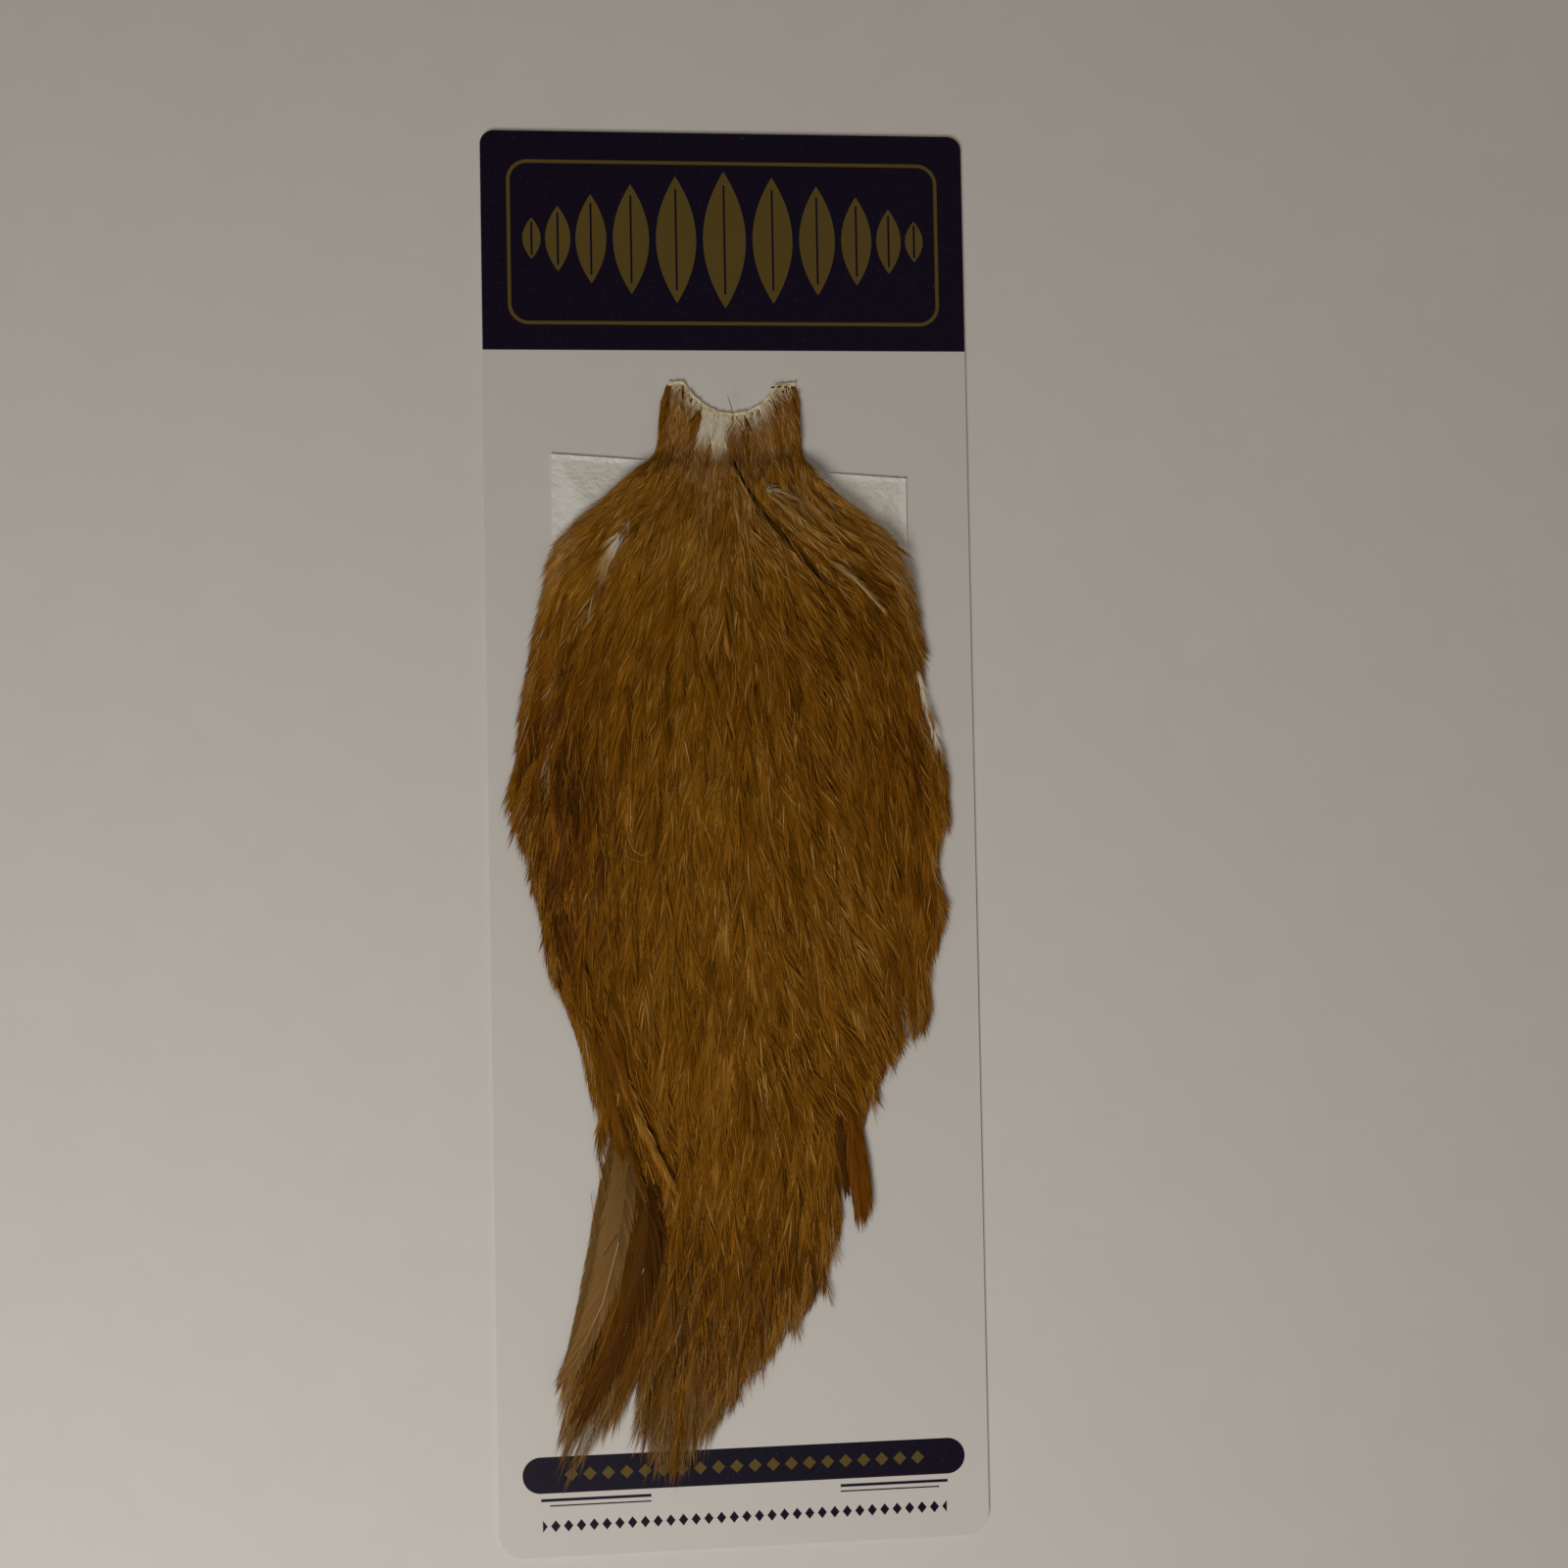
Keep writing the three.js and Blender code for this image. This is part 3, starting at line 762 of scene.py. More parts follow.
# ramps from dark to light: pale bases, then gold, orange, dark, pale and tan
rampPlaces = (0, 0.35, 0.65, 1)
baseColours = [
    (0, (0.30, 0.17, 0.06)), (0.3, (0.80, 0.62, 0.36)), (0.5, (1.0, 0.90, 0.68)), (1, (1.0, 0.98, 0.88)),
]
featherColours = [
    ((0.085, 0.028, 0.002), (0.230, 0.085, 0.0035), (0.40, 0.170, 0.012), (0.66, 0.41, 0.13)),
    ((0.100, 0.030, 0.002), (0.26, 0.086, 0.004), (0.45, 0.172, 0.010), (0.74, 0.38, 0.08)),
    ((0.050, 0.016, 0.002), (0.110, 0.037, 0.004), (0.20, 0.078, 0.008), (0.36, 0.19, 0.05)),
    ((0.30, 0.16, 0.05), (0.52, 0.36, 0.18), (0.82, 0.68, 0.47), (0.98, 0.88, 0.70)),
    ((0.14, 0.075, 0.020), (0.30, 0.160, 0.050), (0.50, 0.305, 0.130), (0.74, 0.58, 0.38)),
]


def featherMaterial():
    # colour by the map: across it from dark to light, up it in bands from root to tip, each strand darker
    # towards its root as painted shade under the feathers that lie over it; pale bases are not darkened
    look = Look("feather coat", Roughness=0.5, Specular_IOR_Level=0.16, Specular_Tint=(1.0, 0.62, 0.25))
    tone, height, _ = look.parts(look.add("ShaderNodeUVMap", {"uv_map": "OFBake"}))
    scaled = height * bands
    band = look.maths("FLOOR", scaled)
    shade = scaled - band
    ramps = [look.ramp(tone, list(zip(rampPlaces, colours))) for colours in featherColours]
    colour = ramps[0]
    for number in range(1, len(ramps)):
        colour = look.mix(look.greater(band, number - 0.5), colour, ramps[number])
    isBase = look.greater(band, 4.5)
    colour = look.mix(isBase, colour, look.mix(shade, look.ramp(tone, baseColours), ramps[0]))
    # painted shade: from 0.6 at a strand's root to full colour at its tip
    paintedRootShade = look.most(look.soften(shade, 0.0, 0.8) * 0.4 + 0.6, isBase)
    colour = look.add("ShaderNodeVectorMath", {"operation": "SCALE"}, {0: colour, "Scale": paintedRootShade})
    look.feed("Base Color", colour)
    look.feed("Roughness", 0.6 - tone * 0.18)
    return look.material


# (name, lowest and highest tip, spacing, lengths at top and bottom, half widths at top and bottom)
featherZones = [
    ("feathers_neck", 92, 126, 2.1, (9, 13), (1.5, 2.2)),
    ("feathers_shoulder", 55, 92, 2.75, (14, 20), (2.2, 2.7)),
    ("feathers_upper_back", 18, 55, 3.0, (20, 23), (2.7, 3.0)),
    ("feathers_lower_back", -22, 18, 3.0, (23, 25), (3.0, 3.2)),
    ("feathers_saddle", -70, -22, 3.2, (25, 29), (3.2, 3.5)),
    ("feathers_rump", -120, -70, 3.2, (29, 36), (3.5, 3.9)),
    ("feathers_tail", -190, -120, 3.5, (36, 52), (3.9, 4.3)),
]


# length of the pale bases along the neck cut, as x and millimetres
paleReach = (
    [-17, -14, -10.5, -8.0, -6.2, -3, -0.6, 0.3, 1.2, 4, 7, 11, 15, 20],
    [3.2, 3.6, 3.4, 4.0, 9.0, 12.0, 12.0, 5.2, 4.6, 5.0, 4.4, 3.8, 3.0, 2.4],
)


def coatPiece(name, low, high, spacing, lengths, widths):
    # one zone of the coat: feathers whose tips lie between low and high
    gridY, gridX = np.meshgrid(np.arange(low, high, spacing), np.arange(-70, 70, spacing), indexing="ij")
    x = (gridX + rng.uniform(-0.6, 0.6, gridX.shape) * spacing).ravel()
    y = (gridY + rng.uniform(-0.6, 0.6, gridY.shape) * spacing).ravel()
    # the broad feathers lie down the tail's left
    bare = (x < sides(y)[0] + 10.5) & (y < -88) & (y > -152)
    keep = insideOutline(x, y) & (belowCut(x, y) > 4 + 0.85 * np.interp(x, *paleReach)) & ~bare
    tips = np.stack([x[keep], y[keep]], 1)
    count = len(tips)
    share = np.clip((high - tips[:, 1]) / (high - low), 0, 1)
    length, halfWidth = (
        (first + (last - first) * share) * rng.uniform(least, 1.2, count)
        for (first, last), least in ((lengths, 0.85), (widths, 0.8))
    )
    group = groupOf(*tips.T)
    outwards = rng.uniform(-1.0, 1.6, count) * (np.abs(fromLine(*tips.T, middleEdge)[0]) > 2)
    tips = tips + flow(*tips.T) * outwards[:, None]
    path = combBack(tips, length)
    length = length * (belowCut(path[..., 0], path[..., 1]) > 0.8).mean(1)
    kept = length > 4
    tips, length, halfWidth, group = tips[kept], length[kept], halfWidth[kept], group[kept]
    path = scattered(combBack(tips, length), feathers["turn"], 0.6)
    path[..., 0] = keptIn(path[..., 0], path[..., 1], 0.4 + 5 * step(-path[..., 1], 138, 155))
    tone = regionTone(*tips.T, group) + rng.normal(0, 0.055, len(tips))
    lift = rng.normal(0, feathers["lift"], len(tips))
    featherPiece(name, [vane(path, length, halfWidth, tone, feathers, lift=lift, group=group)])


# Card

cardPrint = {
    "header": 139.7,  # height from which the card is dark
    "frame": ((0, 171.0), (62.0, 23.4), 5.5),  # middle, half size and corner radius
    "bar": ((0, -180.3), (63.1, 5.1), 5.1),
    # leaves on the header, as (distance from its middle, half height, half width)
    "leaves": [(0, 20, 6.2), (14, 18.5, 5.8), (27, 16, 5.2), (38.5, 13, 4.4), (48, 9.5, 3.6), (55.5, 6, 2.6)],
    "leafMiddle": 172,
    # rules at the foot, as (y, half height, ends)
    "rules": [(-187.3, 0.42, (27, 58)), (-188.9, 0.2, (27, 55.5))],
    "dots": -194.6,
}


def cardMaterial(made):
    look = Look("printed card", Specular_IOR_Level=0.12)
    spot, x, y, _ = look.place()
    middle = abs(x)
    facing = look.parts(look.add("ShaderNodeNewGeometry", output="Normal"))[2]
    fibre = look.noise(spot, 900, 4, 0.6)
    cloud = look.noise(spot, 14, 3, 0.55)
    board = look.mix(cloud, (0.775, 0.745, 0.70), (0.825, 0.80, 0.765))
    header = look.greater(y, made["header"] * mm)
    ink = look.most(header, look.greater(0, look.roundBox(x, y, *made["bar"])))
    gold = look.greater(0.5 * mm, abs(look.roundBox(x, y, *made["frame"])))
    for offset, height, width in made["leaves"]:
        leafX = abs(middle - offset * mm) / (width * mm)
        leafY = (y - made["leafMiddle"] * mm) / (height * mm)
        gold = look.most(gold, look.greater(1 - leafY * leafY, leafX))
        vein = look.greater(0.3 * mm, abs(middle - offset * mm)) * look.greater(0.8, abs(leafY))
        gold = gold * (1 - vein)
    beads = abs(look.maths("PINGPONG", x, 5.2 * mm) - 2.6 * mm) + abs(y - made["bar"][0][1] * mm)
    gold = look.most(gold, look.greater(1.9 * mm, beads) * look.greater(52 * mm, middle))
    rules = 0
    for ruleY, half, (start, end) in made["rules"]:
        line = look.greater(half * mm, abs(y - ruleY * mm))
        rules = line * (look.greater(middle, start * mm) * look.greater(end * mm, middle)) + rules
    dots = abs(look.maths("PINGPONG", x + 1.8 * mm, 3.6 * mm) - 1.8 * mm) + abs(y - made["dots"] * mm) * 0.8
    dotRow = look.greater(1.35 * mm, dots) * look.greater(57.6 * mm, middle)
    ink = look.most(ink, look.least(rules + dotRow, 1))
    worn = look.greater(look.noise(spot, 2400, 2, 0.5), 0.30)
    goldInk = look.mix(cloud, (0.125, 0.085, 0.017), (0.165, 0.113, 0.026))
    navyInk = look.mix(fibre, (0.006, 0.003, 0.014), (0.010, 0.005, 0.021))
    printed = look.mix(ink * (0.94 + 0.06 * worn), board, navyInk)
    printed = look.mix(gold * ink, printed, goldInk)
    back = look.mix(fibre, (0.60, 0.575, 0.53), (0.68, 0.655, 0.61))
    look.feed("Base Color", look.mix(look.greater(facing, 0.5), back, printed))
    look.feed("Roughness", 0.46 + fibre * 0.12)
    look.bump(fibre * 0.6 + cloud, 0.00006, 0.5)
    return look.material


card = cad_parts["card"]
card.data.materials.clear()
card.data.materials.append(cardMaterial(cardPrint))
for face in card.data.polygons:
    face.material_index = 0
print("card printed")


# Pad

padForm = {
    "corners": [(-50.8, -21), (51.7, -21), (51.7, 102.4), (-50.8, 109.8)],
    "size": (101.6, 127),
    "level": 0.75,
    "thickness": 2.95,
    "folds": 26,
    "columns": 90,
    "rows": 110,
    "seed": 5,
}


def padMaterial():
    look = Look("pad in clear film", Specular_IOR_Level=0.6, Coat_Weight=0.5, Coat_Roughness=0.05)
    spot, x, y, _ = look.place()
    wad = look.noise(spot, 90, 5, 0.6)
    folds = look.noise(spot, 260, 4, 0.62)
    colour = look.mix(wad, (0.97, 0.945, 0.86), (1.0, 0.99, 0.94))
    _, middle, top, _ = coat["padSize"]
    topTilt = 0.0709
    # a white strip along the film's top edge is a painted highlight, the glint of the film's edge
    belowTop = (top * mm - (x - middle * mm) * topTilt) - y
    look.feed("Base Color", look.mix(look.soften(belowTop, 0.7 * mm, 1.4 * mm), (1.0, 1.0, 0.98), colour))
    look.feed("Roughness", 0.04 + folds * 0.22)
    look.bump(look.noise(spot, 330, 4, 0.6), 0.0008, 1.0)
    return look.material


def makePad(form):
    rows, columns = form["rows"], form["columns"]
    acrossSteps = 0.5 - 0.5 * np.cos(np.linspace(0, math.pi, columns))
    v, u = np.meshgrid(1 - np.linspace(1, 0, rows) ** 1.5, acrossSteps, indexing="ij")
    lowLeft, lowRight, highRight, highLeft = (np.array(c) for c in form["corners"])
    low = lowLeft + (lowRight - lowLeft) * u[..., None]
    high = highLeft + (highRight - highLeft) * u[..., None]
    flat = low + (high - low) * v[..., None]
    x, y = flat[..., 0], flat[..., 1]
    fromRight, fromTop = (1 - u) * form["size"][0], (1 - v) * form["size"][1]
    across = np.minimum(u, 1 - u) * form["size"][0]
    along = np.minimum(v, 1 - v) * form["size"][1]
    flange = np.where(u > 0.5, 2.6, 2.0)
    puff = step(np.minimum(across - flange, 0.55 * (along - 1.3)), 0.0, 9.0) ** 0.7
    rng = np.random.default_rng(form["seed"])
    crinkle = np.zeros(x.shape)
    for _ in range(form["folds"]):
        turn = rng.uniform(0, math.pi)
        length = rng.uniform(3.5, 14)
        phase = rng.uniform(0, 2 * math.pi)
        bend = 1.3 * np.sin((x * math.sin(turn) - y * math.cos(turn)) / rng.uniform(7, 20) + phase)
        wave = (x * math.cos(turn) + y * math.sin(turn)) * math.pi / length
        ridge = 1 - np.abs(np.sin(wave + bend + phase))
        crinkle += ridge**4 * rng.uniform(0.4, 1.0) * length / 14
    crinkle = crinkle / 5.0
    top = form["level"] + 0.3 + (form["thickness"] - 0.6) * puff + crinkle * (0.08 + 0.36 * puff)
    # the film's raised top and right edges, and the seam down its right side
    top += 0.26 * (1 - step(fromTop, 0, 1.8)) + 0.26 * (1 - step(fromRight, 0, 1.8))
    top += 0.2 * bell(fromRight, 3.0, 0.5)
    top = np.minimum(top, form["level"] + form["thickness"] + 0.25)
    top[[0, -1]] = form["level"] + 0.06
    top[:, [0, -1]] = form["level"] + 0.06
    pad = meshPiece("pad_in_film", *closedSheet(x, y, top, np.full(x.shape, form["level"])), padMaterial())
    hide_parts("pad")
    print("pad made")


makePad(padForm)


# Skin and down

def skinMaterial():
    look = Look("dried skin", Roughness=0.55, Specular_IOR_Level=0.35, Subsurface_Weight=0.1)
    spot, *_ = look.place()
    pores = look.noise(spot, 700, 3, 0.6)
    cloud = look.noise(spot, 120, 3, 0.5)
    look.feed("Base Color", look.mix(cloud, (0.86, 0.70, 0.38), (1.0, 0.90, 0.62)))
    look.bump(pores, 0.0003, 0.8)
    return look.material


def shadeDarkDownMaterial():
    look = Look("under down, dark as painted shade", Roughness=0.9, Specular_IOR_Level=0.1)
    # a real layer of down, coloured near-black brown as painted shade for the gaps between the feathers
    spot, *_ = look.place()
    fluff = look.noise(spot, 500, 4, 0.6, (1, 0.2, 1))
    look.feed("Base Color", look.mix(fluff, (0.028, 0.011, 0.003), (0.080, 0.034, 0.009)))
    look.bump(fluff, 0.0008, 1.0)
    return look.material


def bodySheet(name, inset, topOf, bottomOf, yTop, yBottom, material, columns, rows):
    # closed sheet that follows the cape's outline, with its top edge along the neck cut
    taper = 26
    v = np.linspace(0, 1, rows)[:, None] ** 1.8
    u = np.linspace(-1, 1, columns)[None, :]
    stationY = yTop + (yBottom - yTop) * v
    nearNeck, nearEnd = (np.clip(1 - gap / taper, 0, 1) for gap in (yTop - stationY, stationY - yBottom))
    pinch = np.sqrt(np.clip(1 - nearEnd**2, 0.0, 1)) * 0.96 + 0.04
    left, right = sides(stationY)
    left, right = left + inset * (1 - nearNeck), right - inset * (1 - nearNeck)
    x = (left + right) / 2 + u * (right - left) / 2 * pinch
    y = stationY - (neckLine[0, 1] - belowCut(x, 0)) * nearNeck
    bottom = bottomOf(x, y)
    top = np.maximum(topOf(x, y), bottom + 0.2)
    piece = meshPiece(name, *closedSheet(x, y, top, bottom, True), material)
    return piece


def skinTop(x, y):
    # the cut's rim stands up, so that it stays in the light
    lump = 0.3 * np.sin(x * 2.9) + 0.2 * np.sin(x * 5.3 + 1)
    rim = (0.4 + 0.6 * lump) * (1 - step(belowCut(x, y), 0.8, 1.5))
    return restLevel(x, y) + 0.3 + rim + 0.15 * np.sin(y * 1.7 + x * 0.6)


skin = bodySheet("skin", 7, skinTop, lambda x, y: restLevel(x, y) - 0.22, 130.4, -70, skinMaterial(), 60, 80)
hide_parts("cape")
down = bodySheet(
    "down", 6, lambda x, y: np.maximum(coatLevel(x, y) - 2.6, restLevel(x, y) + 0.5),
    lambda x, y: restLevel(x, y) + 0.2, 108, -146, shadeDarkDownMaterial(), 44, 90,
)
print("skin and down made")

coatMaterial = featherMaterial()
rng = np.random.default_rng(feathers["seed"])
for zone in featherZones:
    coatPiece(*zone)


# short feathers along the neck cut, with pale bases that nothing covers
rimRow = {
    "feathers": 440,
    "length": (7, 13),
    "fan": (-7.2, 0.2),  # where the long pale bases stand
    "barbs": {"dive": 0.0, "slope": 0.0, "barbs": 26, "cup": 0.2, "barbAngles": (17, 7), "barbWidth": 0.3},
}


def rimFeathers():
    runs = np.r_[0, np.cumsum(np.hypot(*np.diff(neckLine, axis=0).T))]
    count = rimRow["feathers"]
    at = rng.uniform(0, runs[-1], count)
    tuft = np.cos(at * 2 * math.pi / 2.6 + np.sin(at * 0.9)) > -0.35
    x = np.interp(at, runs, neckLine[:, 0])
    fan = (x > rimRow["fan"][0]) & (x < rimRow["fan"][1])
    down = rng.choice([1.0, 1.7, 3.4], count, p=[0.55, 0.25, 0.2]) + rng.uniform(-0.1, 0.4, count)
    inner = np.clip(x, -15.4, 18.4)
    heading = np.stack([(x - 1.5) * 0.045 * (np.abs(x - 1.5) < 13), np.full(count, -1.0)], 1)
    reach = np.interp(inner, *paleReach)
    length = rng.uniform(*rimRow["length"], count) + reach
    path = [np.stack([inner, belowCut(inner, 0) - down], 1)]
    for i in range(pathParts):
        turn = min(1, i / 6)
        ahead = heading * (1 - turn) + flow(*path[-1].T) * turn
        ahead /= np.linalg.norm(ahead, axis=1, keepdims=True)
        path.append(path[-1] + ahead * (length / pathParts)[:, None])
    path = np.stack(path, 1)
    paleBase = (reach - down) * np.where(fan | tuft, 1, 0.3) + rng.normal(0, 0.8, count)
    lift = 0.35 + rng.normal(0, 0.2, count)
    tone = np.where(fan, 0.6, 0.40) + rng.normal(0, 1, count) * np.where(fan, 0.2, 0.12)
    group = np.ceil(groupOf(*path[:, -1].T))
    halfWidth = np.full(count, 1.4)
    opts = {**feathers, **rimRow["barbs"]}
    made = vane(path, length, halfWidth, tone, opts, paleBase=paleBase, lift=lift, group=group)
    featherPiece("feathers_rim", [made])


rimFeathers()

# darker feathers that run down the low strip, between the two lines; their dark barbs are painted shade
partingRow = {"feathers": 90, "length": (9, 15), "tips": (0.2, 0.93), "halfWidth": 1.7, "tone": 0.42}


def partingFeathers():
    count = partingRow["feathers"]
    length = rng.uniform(*partingRow["length"], count)
    tips = rng.uniform(*partingRow["tips"], count)
    at = np.maximum(tips[:, None] - (length / 58)[:, None] * (1 - pathShares), 0.02)
    low, high = (
        np.stack([np.interp(at, pathShares, line[:, i]) for i in (0, 1)], 2)
        for line in (middleEdge, lobeEdge)
    )
    between = rng.uniform(0, 1, count)
    across = between[:, None] + rng.normal(0, 0.12, (count, 1)) * (2 * pathShares - 1)
    path = low + (high - low) * across[..., None]
    tone = partingRow["tone"] + 0.1 * between + rng.normal(0, 0.07, count)
    lift = rng.uniform(-0.2, 0.7, count)
    halfWidth, group = np.full(count, partingRow["halfWidth"]), np.full(count, 0.5)
    featherPiece("feathers_parting", [vane(path, length, halfWidth, tone, feathers, lift=lift, group=group)])


partingFeathers()

# stretches of the left and right edge that single feathers cover, as (lowest y, highest y)
openEdges = {-1: (-152, -84), 1: (-114, -79)}


def edgePlaces(out, y, slack):
    # the heights that single feathers leave free on one edge, and the edge's x there
    low, high = openEdges[out]
    y = y[(y < low - slack) | (y > high + slack)]
    return y, sides(y)[out > 0]


def rootedInside(path, out, reach):
    # the same paths, with roots inside this edge and tips that stand out by reach
    edge = sides(path[..., 1])[out > 0]
    share = np.linspace(0, 1, path.shape[1])
    most = np.maximum(reach, 0)[:, None] * share - 1.2 * (1 - share)
    path[..., 0] = edge + out * np.minimum(out * (path[..., 0] - edge), most)
    return path


# open, thin-barbed feathers whose tips stand out all along both edges
fringeRow = {
    "spacing": 1.1,
    "reach": (-1.8, 1.5),
    "length": (11, 20),
    "barbs": {"barbs": 18, "barbWidth": 0.19, "barbAngles": (24, 9), "fringe": None},
}


def fringeFeathers():
    sets = []
    for out in (-1, 1):
        y = np.arange(127, -172, -fringeRow["spacing"])
        y, x = edgePlaces(out, y + rng.uniform(-0.7, 0.7, len(y)), 0)
        spread = 1 + 1.0 * step(y, 60, 80) + (0.7 * step(-y, 112, 124) if out > 0 else 0)
        reach = rng.uniform(*fringeRow["reach"], len(y)) * step(99 - y, -2, 16) * spread
        reach = reach - 0.7 * step(y, 97, 103)
        tips = np.stack([x + out * reach, y], 1)
        length = rng.uniform(*fringeRow["length"], len(y)) * (0.6 + 0.4 * step(106 - y, 0, 60))
        length = np.minimum(length, 0.95 * belowCut(tips[:, 0], y))
        path = rootedInside(scattered(combBack(tips, length), 4.0, 0.5), out, reach)
        halfWidth = 0.9 + 1.3 * step(106 - y, 0, 60)
        # the fringe is lighter on the shoulders: painted light, as if lit through the thin feathers
        tone = 0.46 + 0.14 * step(y, 50, 72) * step(104 - y, 0, 10) + rng.normal(0, 0.07, len(y))
        lift, group = rng.uniform(0, 0.8, len(y)), np.full(len(y), (out + 1) / 2)
        opts = {**feathers, **fringeRow["barbs"]}
        sets.append(vane(path, length, halfWidth, tone, opts, lift=lift, group=group))
    featherPiece("feathers_fringe", sets)


fringeFeathers()


def hairStrands(path, group, rise, width, tone, band, shade):
    # single strands along these paths, higher than the coat by rise
    count = len(path)
    level = coatLevel(path[..., 0], path[..., 1], np.reshape(group, (-1, 1)) * np.ones((count, 1)))
    line = np.concatenate([path, (level + rise)[..., None]], 2)
    return ribbons(line, width, np.zeros(count), tone, band, np.tile(shade, (count, 1)))


def edgeHairs():
    # fine single hairs that stand out past both edges, most of them at the shoulders
    sets = []
    for out in (-1, 1):
        y = np.concatenate([rng.uniform(-170, 92, 420), rng.uniform(56, 93, 330)])
        y, x = edgePlaces(out, y, 4)
        count = len(y)
        reach = rng.uniform(0.1, 1, count) ** 1.6 * (2.0 + 1.8 * step(y, 50, 75)) * step(102 - y, 0, 9)
        tips = np.stack([x + out * reach, y], 1)
        length = rng.uniform(7, 13, count)
        path = rootedInside(scattered(combBack(tips, length), 5.0, 0.5)[:, ::5], out, reach)
        rise = np.array([0.3, 0.8, 1.0]) * rng.uniform(0.2, 1.3, count)[:, None]
        width, tone = rng.uniform(0.11, 0.19, count), 0.58 + rng.normal(0, 0.12, count)
        band = rng.choice([0, 4], count, p=[0.65, 0.35])
        sets.append(hairStrands(path, (out + 1) / 2, rise, width, tone, band, (0.5, 0.8, 1.0)))
    featherPiece("edge_hairs", sets)


edgeHairs()


def coatHairs():
    # long single strands that lie on the coat
    x, y = rng.uniform(-60, 60, 3000), rng.uniform(-165, 100, 3000)
    inside = insideOutline(x * 1.06, y) & (belowCut(x, y) > 22)
    tips = np.stack([x, y], 1)[inside]
    count = len(tips)
    length = rng.uniform(9, 19, count)
    path = scattered(combBack(tips, length), 4.0, 0.7)[:, ::2]
    path[..., 0] = keptIn(path[..., 0], path[..., 1], 0.2)
    rise = np.linspace(-0.4, 1, 6) * rng.uniform(0.5, 1.3, count)[:, None]
    width, tone = rng.uniform(0.12, 0.2, count), 0.62 + rng.normal(0, 0.1, count)
    band = rng.choice([0, 1], count, p=[0.85, 0.15])
    made = hairStrands(path, groupOf(*tips.T), rise, width, tone, band, np.linspace(0.5, 1, 6))
    featherPiece("coat_hairs", [made])


coatHairs()

# what single feathers have unless they say otherwise. family: 0 gold, 1 orange, 2 dark, 3 pale, 4 tan
usual = {
    "thin": 0.32,  # width of the barbs
    "group": 0,
    "dense": 1.3,  # barbs to a millimetre
    "uneven": 1.0,
    "family": 0,
    "base": 0,  # millimetres of pale base
    "angles": (23, 9),
    "longest": 14,
    "past": 5,
    "quill": None,
}


def single(points, width, tone, lift, bend=0.0, **more):
    # a feather from root to tip with its middle pushed aside by bend, or through more points than two
    return {**usual, "points": points, "width": width, "tone": tone, "lift": lift, "bend": bend, **more}


# the open feathers at the end of the tail, as (root, tip, width, tone, lift, bend, family, thin)
openTips = [
    ((-38, -138), (-50.4, -181.5), 2.4, 0.26, 0.9, 1.4, 4, 0.2),
    ((-36, -130), (-50.8, -172), 3.2, 0.40, 0.6, 1.8, 4, 0.17),
    ((-34, -134), (-46.4, -176), 3.2, 0.3, 0.8, 1.6, 4, 0.2),
    ((-31, -130), (-41.6, -170), 3.4, 0.36, 0.7, 1.6, 4, 0.18),
    ((-29, -130), (-37.2, -166), 3.0, 0.5, 0.6, 1.2, 0, 0.18),
    ((-23, -132), (-31, -168), 2.8, 0.5, 0.5, 0.6, 4, 0.17),
    ((-19, -134), (-25.2, -180.5), 3.0, 0.36, 0.6, 0.6, 4, 0.18),
    ((-16, -132), (-20.6, -180), 3.0, 0.46, 0.9, 0.6, 0, 0.2),
    ((-13, -130), (-15.4, -175), 3.0, 0.40, 0.7, 0.4, 4, 0.18),
]
# and the thinner ones to the right of them, as (root, tip, width, bend)
thinTips = [
    ((-9, -126), (-11.6, -168), 2.4, 0.2), ((-3, -122), (-5.4, -162), 2.4, 0.2),
    ((4, -116), (5, -155), 2.4, -0.2), ((12, -110), (16, -144), 2.4, -0.4),
    ((20, -102), (25, -134), 2.2, -0.6), ((22, -96), (27, -123), 2.2, -0.6),
]
